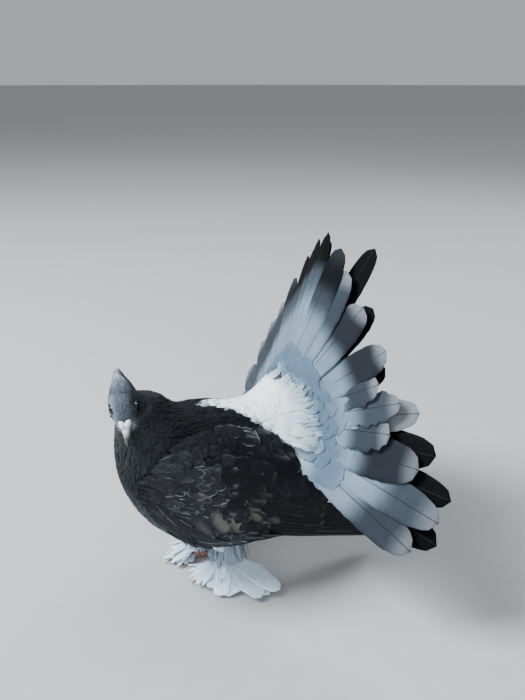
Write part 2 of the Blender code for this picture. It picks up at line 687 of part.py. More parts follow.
def foot(side, looks):
    """A foot with its four toes, claws and long feathers, and the leg above it."""
    x, y, yaw = FEET[side]
    sign = 1 if side == "left" else -1
    pieces = []
    for name, turn, length in TOES:
        way = math.radians(yaw + sign * turn)
        r = TOE_RADIUS * (0.92 if name != "middle" else 1)
        radii = [r * k for k in (1.12, 1.0, 1.08, 0.95, 0.78)]
        pieces.append(loft("toe", toe_rings((x, y, 0), way, 0.5, length, radii, 0.4 + 0.13 * len(pieces))))
        claw_rings = []
        for i in range(5):
            v = i / 4
            r = 1.15 * (1 - v) ** 0.8 + 0.18
            aim = Vector((math.sin(way), -math.cos(way), 0))
            across = Vector((math.cos(way), math.sin(way), 0))
            lift = 2.1 + 0.9 * math.sin(math.pi * min(v * 1.2, 1)) - 1.7 * v * v
            middle = Vector((x, y, 0)) + aim * (length + GAP + 5.6 * v) + SKY * lift
            claw_rings.append([tuple(middle + across * (r * 0.8 * math.cos(a)) + SKY * (r * math.sin(a)))
                               for a in (2 * math.pi * k / 6 for k in range(6))])
        loft(f"claw_{side}_{name}", claw_rings, looks["claw"])
    shank = []
    for z, r in ((0.6, 3.2), (4.0, 3.4), (9.0, 3.0), (15.0, 3.4), (ANKLE - GAP, 4.4)):
        shank.append([(x + math.cos(a) * r, y + 1.5 * (z / ANKLE) + math.sin(a) * r * 1.1, z)
                      for a in (2 * math.pi * k / 12 for k in range(12))])
    made = loft(f"foot_{side}", shank, looks["skin"])
    boolean(made, pieces + muffs(side), "UNION", FEATHER_SOLVER)
    keep_largest(made)
    leg = []
    for z, r in ((ANKLE, 5.0), (24.0, 8.0), (30.0, 11.0), (38.0, 12.5), (50.0, 12.0)):
        leg.append([(x + math.cos(a) * r, y + 1.5 + math.sin(a) * r * 1.15, z)
                    for a in (2 * math.pi * k / 16 for k in range(16))])
    thigh = loft(f"leg_{side}", leg, looks["slate"])
    boolean(thigh, [body_piece("around", -50.0, 60.0, None, swell=GAP)], "DIFFERENCE")
    keep_largest(thigh)


# Each long foot feather: turn from straight ahead to outwards, reach and height of its tip
MUFF_FEATHERS = ((28.0, 15.0, 6.2), (60.0, 27.0, 1.6), (80.0, 30.0, 2.6), (97.0, 33.0, 1.6),
                 (113.0, 45.0, 2.5), (127.0, 44.0, 1.6), (144.0, 34.0, 2.6))
MUFF_COVERS = ((50.0, 18.0, 5.4), (88.0, 22.0, 5.0), (122.0, 25.0, 5.0))


def muffs(side):
    """The long feathers of the foot, in two tiers, sloping from the ankle to the floor."""
    x, y, yaw = FEET[side]
    sign = 1 if side == "left" else -1
    chance = random.Random(21 if side == "left" else 22)
    vanes = []
    for tier, high in ((MUFF_FEATHERS, 8.0), (MUFF_COVERS, 12.5)):
        for turn, reach, low in tier:
            reach = reach * chance.uniform(0.95, 1.03) * (1.0 if side == "left" else 0.88)
            way = math.radians(sign * turn)
            aim = Vector((math.sin(way), -math.cos(way), 0))
            origin = Vector((x, y + 1, high)) + aim * 1.6
            slope = aim * reach - SKY * (high - low)
            chart = flat_chart(origin, slope, SKY)
            vanes.append(vane(lambda p, q, h, c=chart: c(q, p, h), (0, 0), 0.0, slope.length,
                              8.0 + reach * 0.13, lambda u: 1.6 * math.sin(math.pi * u),
                              0.4 * sign, 0.08 * sign * chance.uniform(-1, 1.5), 0.62, SHORT_VANE))
    return vanes


def main():
    clear_scene()
    looks = {
        "slate": material("slate_plumage", "2b2d33", 0.6),
        "blue": material("blue_grey_plumage", "8f9bab", 0.6),
        "head": material("ash_blue_plumage", "67727f", 0.6),
        "cere": material("chalky_cere", "e9dfe2", 0.7),
        "bill": material("pale_bill", "d9b9bb", 0.4),
        "eye": material("dark_eye", "1a120e", 0.1),
        "skin": material("pink_foot_skin", "b0605a", 0.5),
        "claw": material("grey_claw", "4a4441", 0.4),
    }
    body_piece("neck", HEAD_FOOT, NECK_FOOT, looks["slate"], ends=(0.0, -GAP / 2))
    body_piece("torso", NECK_FOOT, RUMP_FOOT, looks["slate"], ends=(GAP / 2, -GAP / 2))
    rump_piece("rump", RUMP_FOOT, looks["blue"], shift=GAP / 2)
    wing("left", looks["slate"])
    wing("right", looks["slate"])
    for name in TAIL_PARTS:
        tail_part(name, looks["blue"])
    head(looks)
    crest(looks["head"])
    foot("left", looks)
    foot("right", looks)
    shapes = [obj for obj in bpy.data.objects if obj.type == "MESH"]
    corners = np.array([v.co[:] for obj in shapes for v in obj.data.vertices])
    low, high = corners.min(axis=0), corners.max(axis=0)
    origin = Vector(((low[0] + high[0]) / 2, (low[1] + high[1]) / 2, low[2]))
    for obj in shapes:
        for face in obj.data.polygons:
            face.use_smooth = True
        obj.data.transform(Matrix.Scale(0.001, 4) @ Matrix.Translation(-origin))
    return origin / 1000


OFFSET = main()
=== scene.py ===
"""A fantail pigeon in a plain studio: one skin under its coat, the coat laid feather by feather.

Shapes are worked out in millimetres in the bird's own frame: -Y is the way the breast faces,
+X its left, +Z up and z = 0 the floor. to_frame() turns them into the frame's metres."""
import math

import bmesh
import bpy
import numpy as np
from mathutils import Matrix, Vector
from mathutils.bvhtree import BVHTree


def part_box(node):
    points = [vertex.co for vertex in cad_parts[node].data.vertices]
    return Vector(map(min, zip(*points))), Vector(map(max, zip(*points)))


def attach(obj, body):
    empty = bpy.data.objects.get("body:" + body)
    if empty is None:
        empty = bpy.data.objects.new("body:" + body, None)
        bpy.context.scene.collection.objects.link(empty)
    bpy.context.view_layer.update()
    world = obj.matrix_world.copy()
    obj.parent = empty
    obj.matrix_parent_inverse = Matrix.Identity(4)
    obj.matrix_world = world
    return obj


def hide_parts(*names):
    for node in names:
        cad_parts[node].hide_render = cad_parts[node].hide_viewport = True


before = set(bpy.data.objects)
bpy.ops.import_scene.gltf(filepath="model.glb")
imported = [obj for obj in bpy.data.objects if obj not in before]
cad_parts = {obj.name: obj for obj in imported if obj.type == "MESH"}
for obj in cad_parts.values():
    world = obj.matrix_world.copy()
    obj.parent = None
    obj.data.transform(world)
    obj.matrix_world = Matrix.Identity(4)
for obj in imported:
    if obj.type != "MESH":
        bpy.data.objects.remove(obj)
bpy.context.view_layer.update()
CHANCE = np.random.default_rng(7)

# Driving sizes in millimetres and degrees
HEAD_AT = (3.0, -50.5, 142.5)
HEAD_YAW, HEAD_PITCH, HEAD_ROLL = 74.0, -32.0, 9.0
EYE_AT = (2.5, 7.7, 2.0)
BALL_OUT, BALL_RADIUS = 6.3, 4.0
BILL_ROOT = (16.0, 0.0, -2.5)
FRONT_PIVOT, REAR_PIVOT = (-8.0, 152.0), (34.0, 168.0)   # y, z of the lines the body bends about
TAIL_AT, TAIL_RISE, TAIL_SWEEP = (0.0, 57.0, 109.0), 66.0, 27.0
WING_REACH = 46.0
FEET = {"left": (16.0, 13.0, 12.0), "right": (-15.0, 5.0, -8.0)}
ANKLE = 20.0
COAT_DEPTH, HEAD_COAT_DEPTH = 1.5, 0.6
SKIN_GRAIN = 1.3   # the skin's surface is worked out on a grid this fine
HEAD_REACH = (13.0, 22.0)   # from the head's middle: its coat ends over this stretch
NECK_BACK, NECK_FOOT = -14.0, 88.0   # y and z where the coats of neck and breast end
FAN_FOLD = 0.03   # how softly the fan turns back at its middle
ROOT_PATCH = 0.003   # of the skin's unwrap, for one small feather
TRIES = 9   # places tried for every root that fits
LID_OUT, LID_WALL, LID_FOLDS = 3.6, 0.3, 14   # where the lid meets the ball, its thickness and its folds
SIGN = {"left": 1, "right": -1}
# Where the photograph was taken from: place in the bird's frame, turn round it and dip, in degrees
CAMERA_AT, CAMERA_TURN, CAMERA_DIP, CAMERA_FOCUS = (487.4, -183.8, 353.0), 64.0, 19.0, 41.14
FLESH = ("head", "neck", "torso", "rump", "leg_left", "leg_right")

# Colours of the plumage, as sRGB
# the slate colour also serves as a painted sheen over the wings' wrists
SOOT, CHARCOAL, SLATE_AND_SHEEN = "0f1014", "17191e", "4a4b55"
BREAST_SHEEN, BELLY_GREY = "2d3534", "8492a0"
# the head's pale and dusky colours also paint light on its right side and shade on its left
HEAD_BLUE, HEAD_PALE_AND_LIGHT, HEAD_DUSK_AND_SHADE = "4c5460", "91a2b3", "1b1e23"
RUMP_WHITE, RUMP_BLUE, COVERT_BLUE = "f4fbff", "94a9b8", "52667a"
# the fan's black is partly painted shade, on its rear layer and in its middle
TAIL_BLUE, TAIL_BAND, TAIL_TIP, TAIL_BLACK_AND_SHADE = "718292", "1f2229", "7b8087", "030304"
WING_LACE, WING_PATCH = "838687", "5f5e5b"
MUFF_BLUE = "d4e8f8"
CREST_PALE = "b9c6cf"


def linear(hex_colour):
    """An sRGB hex colour as linear red, green and blue."""
    parts = np.array([int(hex_colour[i:i + 2], 16) / 255 for i in (0, 2, 4)])
    return np.where(parts < 0.04045, parts / 12.92, ((parts + 0.055) / 1.055) ** 2.4)


def head_matrix():
    """The head's frame: x forwards along the bill, y to its left, z up."""
    turn = Matrix.Rotation(math.radians(HEAD_YAW - 90), 4, "Z")
    turn @= Matrix.Rotation(math.radians(-HEAD_PITCH), 4, "Y")
    turn @= Matrix.Rotation(math.radians(HEAD_ROLL), 4, "X")
    return Matrix.Translation(HEAD_AT) @ turn


HEAD = head_matrix()
HEAD_TURN = np.array(HEAD.to_3x3())
EYE_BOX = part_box("eye_left")
ORIGIN = HEAD @ Vector(EYE_AT) - (EYE_BOX[0] + EYE_BOX[1]) * 500


def to_frame(points):
    """Millimetres of the bird as metres of the frame."""
    return (np.asarray(points, float) - np.array(ORIGIN)) / 1000


def to_bird(points):
    """Metres of the frame as millimetres of the bird."""
    return np.asarray(points, float) * 1000 + np.array(ORIGIN)


def head_points(points):
    """Places given in the head's frame, in the bird's."""
    return np.asarray(points, float) @ HEAD_TURN.T + np.array(HEAD_AT)


def into_head(points):
    """Places of the bird, in the head's frame."""
    return (np.asarray(points, float) - np.array(HEAD_AT)) @ HEAD_TURN


def unit(vectors):
    """Vectors of length 1."""
    return vectors / np.maximum(np.linalg.norm(vectors, axis=-1, keepdims=True), 1e-9)


def ease(x, low, high):
    """0 below low, 1 above high and smooth between."""
    t = np.clip((np.asarray(x, float) - low) / (high - low), 0, 1)
    return t * t * (3 - 2 * t)


def each(chance, low, high, n):
    """A random value for each of n feathers, over all its points."""
    return chance.uniform(low, high, n)[:, None, None]


def mix(a, b, t):
    """a where t is 0, b where it is 1."""
    return a + (b - a) * t


# Materials

def add(tree, kind, values, keys=(), **settings):
    """A node with its settings. Its values, by socket, are numbers, colours or what other nodes give,
    and keys are the places and colours of a ramp."""
    node = tree.nodes.new("ShaderNode" + kind)
    for key, value in settings.items():
        setattr(node, key, value)
    for key, value in values.items():
        if isinstance(value, bpy.types.Node):
            value = value.outputs[0]
        if isinstance(value, bpy.types.NodeSocket):
            tree.links.new(value, node.inputs[key])
        else:
            node.inputs[key].default_value = value
    if keys:
        elements = node.color_ramp.elements
        while len(elements) < len(keys):
            elements.new(0.5)
        for element, (at, colour) in zip(elements, keys):
            element.position, element.color = at, (*linear(colour), 1)
    return node


def begin(name, settings):
    """A material with a Principled shader: it, its tree, the shader and the place it shades."""
    made = bpy.data.materials.new(name)
    made.use_nodes = True
    shader = made.node_tree.nodes["Principled BSDF"]
    for key, value in settings.items():
        shader.inputs[key].default_value = value
    return made, made.node_tree, shader, add(made.node_tree, "TexCoord", {}).outputs["Object"]


def surface(tree, shader, colour, height, strength, distance):
    """Gives the shader its colour and its relief, in metres."""
    bump = add(tree, "Bump", {"Strength": strength, "Distance": distance, "Height": height})
    tree.links.new(colour, shader.inputs["Base Color"])
    tree.links.new(bump.outputs[0], shader.inputs["Normal"])


def feather_look(name, barb_mm, barb_depth, lace, rough, sheen, dust=0.0, gloss=0.12):
    """Keratin barbs combed side by side: matt, faintly striped along each barb, with a shaft.
    Real barbs are 0.3 to 0.5 mm apart, too fine to show, so they are drawn two to four times as coarse.
    Lie holds the way along and across each feather in centimetres, Trim how near its edge and
    how strongly that edge is laced, and the alpha of Tint how dark its shaft shows."""
    made, tree, shader, place = begin(name, {"Roughness": rough, "Sheen Weight": sheen,
                                             "Sheen Roughness": 0.5, "Specular IOR Level": gloss})
    lie = add(tree, "SeparateXYZ", {0: add(tree, "UVMap", {}, uv_map="Lie")})
    trim = add(tree, "SeparateXYZ", {0: add(tree, "UVMap", {}, uv_map="Trim")})
    tint = add(tree, "Attribute", {}, attribute_name="Tint")
    pale = (*linear(lace), 1)
    across = add(tree, "Math", {0: lie.outputs[1]}, operation="ABSOLUTE")
    # barbs leave the shaft at about 40 degrees and run to the edge
    barb = add(tree, "Math", {0: across, 1: -1.15, 2: lie}, operation="MULTIPLY_ADD")
    wobble = add(tree, "TexNoise", {"Scale": 260.0, "Detail": 2.0, "Vector": place})
    bent = add(tree, "Math", {0: wobble, 1: 0.09, 2: barb}, operation="MULTIPLY_ADD")
    phase = add(tree, "Math", {0: bent, 1: 20 * math.pi / barb_mm}, operation="MULTIPLY")
    stripe = add(tree, "Math", {0: phase}, operation="SINE")
    # the pale or worn edge of the vane, broken up where barbs are missing
    edge = add(tree, "MapRange", {0: trim, 1: 0.66, 2: 0.96}, interpolation_type="SMOOTHSTEP")
    edging = add(tree, "Math", {0: edge, 1: trim.outputs[1]}, operation="MULTIPLY", use_clamp=True)
    laced = add(tree, "Mix", {0: edging, 6: tint, 7: pale}, data_type="RGBA")
    # powder down, lying in drifts about a centimetre wide
    powder = add(tree, "TexNoise", {"Scale": 130.0, "Detail": 6.0, "Roughness": 0.75, "Vector": place})
    drifts = add(tree, "MapRange", {0: powder, 1: 0.52, 2: 0.78, 4: dust}, interpolation_type="SMOOTHSTEP")
    dusty = add(tree, "Mix", {0: drifts, 6: laced.outputs[2], 7: pale}, data_type="RGBA")
    # unevenness a few millimetres wide, as wear leaves on plumage
    cloud = add(tree, "TexNoise", {"Scale": 140.0, "Detail": 4.0, "Roughness": 0.65, "Vector": place})
    uneven = add(tree, "Math", {0: cloud, 1: 0.5, 2: 0.75}, operation="MULTIPLY_ADD")
    lit = add(tree, "Math", {0: stripe, 1: barb_depth, 2: uneven}, operation="MULTIPLY_ADD")
    combed = add(tree, "VectorMath", {0: dusty.outputs[2], "Scale": lit}, operation="SCALE")
    near = add(tree, "MapRange", {0: across, 1: 0.05, 2: 0.015}, interpolation_type="SMOOTHSTEP")
    dark = add(tree, "Math", {0: near, 1: tint.outputs["Alpha"]}, operation="MULTIPLY")
    shafted = add(tree, "Mix", {0: dark, 6: combed, 7: (*linear("1c1d21"), 1)}, data_type="RGBA")
    relief = add(tree, "Math", {0: stripe, 1: 0.7, 2: cloud}, operation="MULTIPLY_ADD")
    surface(tree, shader, shafted.outputs[2], relief, 0.18, 0.00015)
    return made


def skin_look():
    """Down-covered skin, seen only between the feathers: it takes the coat's own markings, with the painted
    light and shade of the head.
    """
    made, tree, shader, place = begin("downy_skin", {"Roughness": 0.9, "Specular IOR Level": 0.2})
    tint = add(tree, "Attribute", {}, attribute_name="Tint")
    fluff = add(tree, "TexNoise", {"Scale": 900.0, "Detail": 3.0, "Vector": place})
    shade = add(tree, "Math", {0: fluff, 1: 0.5, 2: 0.45}, operation="MULTIPLY_ADD")
    down = add(tree, "VectorMath", {0: tint, "Scale": shade}, operation="SCALE")
    surface(tree, shader, down.outputs[0], fluff, 0.8, 0.0003)
    return made


def grained_look(name, base, other, grain_mm, rough, depth, subsurface=0.0, gloss=0.5):
    """Living horn, wax or skin: two colours clouded together, with a fine grain."""
    made, tree, shader, place = begin(name, {"Roughness": rough, "Specular IOR Level": gloss,
                                             "Subsurface Weight": subsurface, "Subsurface Scale": 0.001})
    cloud = add(tree, "TexNoise", {"Scale": 1000 / (grain_mm * 5), "Detail": 5.0, "Vector": place})
    fine = add(tree, "TexNoise", {"Scale": 1000 / grain_mm, "Detail": 3.0, "Vector": place})
    spread = add(tree, "MapRange", {0: cloud, 1: 0.35, 2: 0.65})
    colour = add(tree, "Mix", {0: spread, 6: (*linear(base), 1), 7: (*linear(other), 1)}, data_type="RGBA")
    surface(tree, shader, colour.outputs[2], fine, depth, 0.0001)
    return made


def along(tree, place, start, way, reach_mm):
    """How far a place lies along a way of the head's frame: 0 at its start and 1 after reach_mm."""
    start = tuple(to_frame(head_points([start]))[0])
    out = add(tree, "VectorMath", {0: place, 1: start}, operation="SUBTRACT")
    way = tuple(HEAD_TURN @ np.array(way) * 1000 / reach_mm)
    return add(tree, "VectorMath", {0: out, 1: way}, operation="DOT_PRODUCT").outputs["Value"]


def bill_look():
    """Pale pinkish horn, waxy at the root and dusky at the tip, 12 mm on."""
    made, tree, shader, place = begin("pale_horn", {"Roughness": 0.35, "Subsurface Weight": 0.15,
                                                    "Subsurface Scale": 0.001})
    streak = add(tree, "TexNoise", {"Scale": 700.0, "Detail": 3.0, "Vector": place})
    out = along(tree, place, BILL_ROOT, (1, 0, -0.2), 12)
    shift = add(tree, "Math", {0: streak, 1: 0.2, 2: out}, operation="MULTIPLY_ADD")
    horn = add(tree, "ValToRGB", {0: shift}, ((0.1, "e9dde5"), (0.35, "c2bfd0"), (0.6, "8a8998"),
                                              (0.8, "45424a")))
    surface(tree, shader, horn.outputs[0], streak, 0.15, 0.0001)
    return made


def eye_look(side):
    """A wet dark eye: a black pupil in a deep brown iris under a clear cornea."""
    made, tree, shader, place = begin("wet_eye_" + side, {"Roughness": 0.06, "Coat Weight": 0.3,
                                                          "Coat Roughness": 0.02})
    way = unit(np.array((0.12, SIGN[side], 0.05)))
    facing = along(tree, place, (EYE_AT[0], SIGN[side] * BALL_OUT, EYE_AT[2]), way, BALL_RADIUS)
    iris = add(tree, "ValToRGB", {0: facing}, ((0.0, "120d0c"), (0.6, "170f0c"), (0.72, "2e190f"),
                                               (0.78, "20110b"), (0.81, "050404")))
    tree.links.new(iris.outputs[0], shader.inputs["Base Color"])
    return made


# Feather shapes

class Shape:
    """A flat closed feather: u from root to tip, v from edge to edge, under 0 on top and 1 below."""

    def __init__(self, rows, columns, lens):
        """A grid of rows and columns; with lens its faces meet in a thin rim, else it has a wall."""
        shape = bmesh.new()
        bmesh.ops.create_grid(shape, x_segments=rows, y_segments=columns, size=1)
        if lens:
            # both faces share the rim, so that the feather ends in a thin edge all round
            rim = {v for v in shape.verts if max(abs(v.co.x), abs(v.co.y)) > 0.999}
            for vert in shape.verts:
                vert.co.z = 0.0 if vert in rim else 1.0
            copy = bmesh.ops.duplicate(shape, geom=shape.verts[:] + shape.edges[:] + shape.faces[:])["geom"]
            verts, faces = ([g for g in copy if isinstance(g, kind)]
                            for kind in (bmesh.types.BMVert, bmesh.types.BMFace))
            bmesh.ops.scale(shape, vec=(1, 1, -1), verts=verts)
            bmesh.ops.reverse_faces(shape, faces=faces)
            bmesh.ops.remove_doubles(shape, verts=shape.verts[:], dist=1e-4)
        else:
            bmesh.ops.translate(shape, vec=(0, 0, 1), verts=shape.verts[:])
            bmesh.ops.solidify(shape, geom=shape.faces[:], thickness=2.0)
        bmesh.ops.recalc_face_normals(shape, faces=shape.faces[:])
        if shape.calc_volume(signed=True) < 0:
            bmesh.ops.reverse_faces(shape, faces=shape.faces[:])
        bmesh.ops.triangulate(shape, faces=shape.faces[:])
        shape.verts.index_update()
        place = np.array([v.co[:] for v in shape.verts])
        self.faces = np.array([[v.index for v in f.verts] for f in shape.faces])
        shape.free()
        self.u = (place[:, 0] + 1) / 2
        self.v = np.interp(place[:, 1], (-1, -0.72, -0.25, 0, 0.25, 0.72, 1),
                           (-1, -0.74, -0.1, 0, 0.1, 0.74, 1))
        self.under = (1 - place[:, 2]) / 2
        self.row = np.rint(self.u * rows).astype(int)
        self.rows = rows


# From the quills of wing and fan down to the finest feathers of the head
LONG, MEDIUM, SMALL = Shape(26, 8, False), Shape(14, 6, False), Shape(8, 4, True)
BODY, SLIM, TINY = Shape(6, 4, True), Shape(5, 2, True), Shape(4, 2, True)


def leaf(u, blunt=0.5, neck=0.35, widest=0.62):
    """Half width of a vane, as a share: narrow at the root, widest past the middle, round at its tip."""
    rise = neck + (1 - neck) * np.sin(np.clip(u / widest, 0, 1) * math.pi / 2) ** 0.9
    fall = 1 - np.clip((u - widest) / (1 - widest), 0, 1) ** (1 / blunt)
    return rise * np.sqrt(np.clip(fall, 0, 1)) + 0.02


def columns(rows):
    """A list of rows with the same keys, as columns that broadcast over each feather's points."""
    return {key: np.array([row[key] for row in rows], float)[:, None] for key in rows[0]}


# What a feather is unless its row says otherwise: lengths in millimetres, bend in radians, the rest shares
FEATHER = {"bend": 0.0, "arch": 0.0, "tilt": 0.0, "curl": 0.0, "camber": 0.02, "thick": 0.35, "skew": 0.0,
           "slant": 0.5, "blunt": 0.5, "neck": 0.35, "ridge": 0.0, "ragged": 0.04, "lace": 0.0,
           "shaft": 0.0, "wave": 0.0}


def feather(p, q, aim, length, width, lifts, **other):
    """One feather's sizes: root, aim in radians, length, width and its height at root and tip."""
    return {**FEATHER, "p": p, "q": q, "aim": aim, "length": length, "width": width,
            "low": lifts[0], "high": lifts[1], **other}


def lay(shape, rows, chart):
    """The points of every feather in a chart, and what its look needs to know of each point."""
    c = columns(rows)
    n = len(rows)
    u, v, under = shape.u[None], shape.v[None], shape.under[None]
    worn = CHANCE.uniform(0, 1, (n, shape.rows + 1))[:, shape.row]
    half = c["width"] / 2 * leaf(u, c["blunt"], c["neck"]) * (1 - c["ragged"] * worn * np.abs(v) ** 3)
    across = half * (v + c["skew"] * (v * v - 1))
    turn, mid = c["aim"] + c["bend"] * u, c["aim"] + c["bend"] * u / 2
    # barbs slant towards the tip, so each edge point lies further on than its root at the shaft
    on = np.abs(v) * half * c["slant"] * (1 - 0.6 * u)
    p = c["p"] + c["length"] * u * np.cos(mid) + np.cos(turn) * on - np.sin(turn) * across
    q = c["q"] + c["length"] * u * np.sin(mid) + np.sin(turn) * on + np.cos(turn) * across
    h = mix(c["low"], c["high"], u) + c["arch"] * np.sin(math.pi * u) + c["curl"] * u**3
    h = h + c["tilt"] * v * leaf(u, c["blunt"], c["neck"]) - c["camber"] * c["width"] * v * v
    swell = CHANCE.uniform(0, 6.28, (n, 1))
    h = h + c["wave"] * u * v * np.sin(9 * u + swell)
    soft_from = chart(p, q, h)
    soft = unit(chart(p, q, h + 1) - soft_from)
    rod = c["ridge"] * (1 - 0.85 * u) * (np.abs(v) < 0.02)
    body = c["thick"] * (1 - 0.5 * u) / 2
    points = soft_from + soft * (np.sign(0.5 - under) * (rod + body))[..., None]
    lie = np.stack(np.broadcast_arrays(c["length"] * u / 10, across / 10), -1)
    # the lace comes and goes along each edge
    rough = CHANCE.uniform(0, 1, (n, 2, shape.rows + 3))
    rough = (rough[..., :-2] + rough[..., 1:-1] + rough[..., 2:]) / 3
    rough = rough[:, (shape.v > 0).astype(int), shape.row]
    edge = np.maximum(np.abs(v), ease(u, 0.75, 1.0))
    trim = np.stack(np.broadcast_arrays(edge, c["lace"] * np.clip(rough * 5 - 1.9, 0, 1.5)), -1)
    shaft = c["shaft"] * ease(u, 0.0, 0.35)
    return {"points": points, "lie": lie, "trim": trim, "soft": soft, "shaft": shaft}


def standing(feet, ways, ups):
    """The chart of feathers that each stand on a foot of their own, along a way and facing up."""
    foot, way = np.array(feet)[:, None], unit(np.array(ways))[:, None]
    across = unit(np.cross(np.array(ups)[:, None], way))
    up = np.cross(way, across)
    return lambda p, q, h: foot + way * p[..., None] + across * q[..., None] + up * h[..., None]


class Plumage:
    """Gathers laid feathers and makes one mesh of them."""

    def __init__(self):
        """Starts with nothing laid."""
        self.stores = {"points": [], "soft": [], "lie": [], "trim": [], "tint": [], "bake": []}
        self.faces, self.count = [], 0

    def put(self, shape, laid, tint, bake, softness):
        """Softness is how far each vane is lit as the surface it lies on, not as a leaf of its own."""
        n, size = laid["points"].shape[:2]
        starts = self.count + size * np.arange(n)
        self.faces.append((shape.faces[None] + starts[:, None, None]).reshape(-1, 3))
        weight = np.where(shape.under > 0.6, 0.0, softness)[None, :, None]
        shaft = np.broadcast_to(np.asarray(laid["shaft"], float), (n, size))[..., None]
        tint = np.concatenate([np.broadcast_to(tint, (n, size, 3)), shaft], -1)
        for key, value in {**laid, "soft": laid["soft"] * weight, "tint": tint, "bake": bake}.items():
            if key in self.stores:
                value = np.broadcast_to(value, (n, size, value.shape[-1]))
                self.stores[key].append(value.reshape(n * size, -1))
        self.count += n * size

    def put_layers(self, layers):
        """Layers of large feathers that share one map: shape, laid feathers, tint and softness."""
        total, done = sum(len(laid["points"]) for _, laid, _, _ in layers), 0
        for shape, laid, tint, softness in layers:
            count = len(laid["points"])
            self.put(shape, laid, tint, sheet_patches(shape, total)[done:done + count], softness)
            done += count

    def line(self, shape, points, colour):
        """A plain pad under the feathers, which closes what they leave open."""
        plain = np.zeros((1, 1, 2))
        self.put(shape, {"points": points[None], "soft": 0 * points[None], "lie": plain, "trim": plain,
                         "shaft": 0.0}, linear(colour)[None, None], plain + 0.001, 0)

    def make(self, name, look, slot, nodes=()):
        """One piece of all that was laid."""
        data = {key: np.concatenate(parts) for key, parts in self.stores.items()}
        points, faces = to_frame(data["points"]), np.concatenate(self.faces)
        mesh = bpy.data.meshes.new(name)
        mesh.vertices.add(len(points))
        mesh.vertices.foreach_set("co", points.astype(np.float32).ravel())
        mesh.loops.add(faces.size)
        mesh.loops.foreach_set("vertex_index", faces.astype(np.int32).ravel())
        mesh.polygons.add(len(faces))
        mesh.polygons.foreach_set("loop_start", (3 * np.arange(len(faces))).astype(np.int32))
        mesh.update(calc_edges=True)
        corner = faces.ravel()
        for layer, key in (("OFBake", "bake"), ("Lie", "lie"), ("Trim", "trim")):
            made = mesh.uv_layers.new(name=layer)
            made.data.foreach_set("uv", data[key][corner].astype(np.float32).ravel())
        paint(mesh, data["tint"])
        smooth(mesh)
        own = read(mesh.vertices, "normal", 3)
        weight = np.linalg.norm(data["soft"], axis=1, keepdims=True)
        mesh.normals_split_custom_set_from_vertices(unit(own * (1 - weight) + data["soft"]))
        return show(name, mesh, look, nodes)


def read(items, key, width, kind=np.float32):
    """One value of every vertex, corner or triangle of a mesh, in rows of a width."""
    found = np.empty(len(items) * width, kind)
    items.foreach_get(key, found)
    return found.reshape(-1, width)


def paint(mesh, tint):
    """Gives each vertex its tint and, as alpha, its shaft's."""
    colour = mesh.color_attributes.new("Tint", "FLOAT_COLOR", "POINT")
    colour.data.foreach_set("color", tint.astype(np.float32).ravel())


def smooth(mesh):
    """Shades every face of a mesh smooth."""
    mesh.polygons.foreach_set("use_smooth", np.ones(len(mesh.polygons), bool))


def finished(shape, name):
    """A smooth mesh of a bmesh, which is freed."""
    mesh = bpy.data.meshes.new(name)
    shape.to_mesh(mesh)
    shape.free()
    smooth(mesh)
    return mesh


def show(name, mesh, look, nodes=()):
    """An object at the origin for a finished mesh, riding on the bird."""
    mesh.materials.clear()
    mesh.materials.append(look)
    piece = bpy.data.objects.new(name, mesh)
    bpy.context.scene.collection.objects.link(piece)
    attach(piece, "root")
    if nodes:
        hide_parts(*nodes)
    return piece


def sheet_patches(shape, count):
    """Places on a square map for large feathers: each has a strip of its own, root to tip."""
    across = math.ceil(math.sqrt(count * 3))
    down = math.ceil(count / across)
    i = np.arange(count)
    x = (i % across + 0.5 + shape.v[:, None] * 0.42).T / across
    y = (i // across + 0.06 + shape.u[:, None] * 0.88).T / down
    return np.stack([x, y], -1)


def root_patches(shape, roots):
    """Places on the skin's own unwrap: each small feather is a patch at its root."""
    local = np.stack([shape.v, shape.u * 2 - 1], -1) * ROOT_PATCH / 2
    return roots[:, None, :] + local[None]


# The skin

def flesh_form():
    """The fleshy nodes as one closed surface, before it is drawn in under the coat."""
    shape = bmesh.new()
    for node in FLESH:
        shape.from_mesh(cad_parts[node].data)
    bmesh.ops.remove_doubles(shape, verts=shape.verts[:], dist=1e-6)
    mesh = bpy.data.meshes.new("skin")
    shape.to_mesh(mesh)
    shape.free()
    form = bpy.data.objects.new("skin_form", mesh)
    bpy.context.scene.collection.objects.link(form)
    remesh = form.modifiers.new("one surface", "REMESH")
    remesh.mode, remesh.voxel_size = "VOXEL", SKIN_GRAIN / 1000
    relax = form.modifiers.new("relax", "SMOOTH")
    relax.factor, relax.iterations = 0.5, 6
    graph = bpy.context.evaluated_depsgraph_get()
    made = bpy.data.meshes.new_from_object(form.evaluated_get(graph))
    bpy.data.objects.remove(form, do_unlink=True)
    bpy.data.meshes.remove(mesh)
    made.name = "skin"
    return made


def mesh_arrays(mesh):
    """Points, normals, and each triangle's vertices and corners."""
    mesh.calc_loop_triangles()
    faces = mesh.loop_triangles
    return (read(mesh.vertices, "co", 3), read(mesh.vertices, "normal", 3),
            read(faces, "vertices", 3, np.int32), read(faces, "loops", 3, np.int32))


def head_share(points):
    """1 on the head, 0 on the body and smooth between, from the distance to the head's middle."""
    local = into_head(points)
    reach = np.linalg.norm((local - (0, 0, 1)) / (1.15, 1, 1), axis=-1)
    return 1 - ease(reach, *HEAD_REACH)


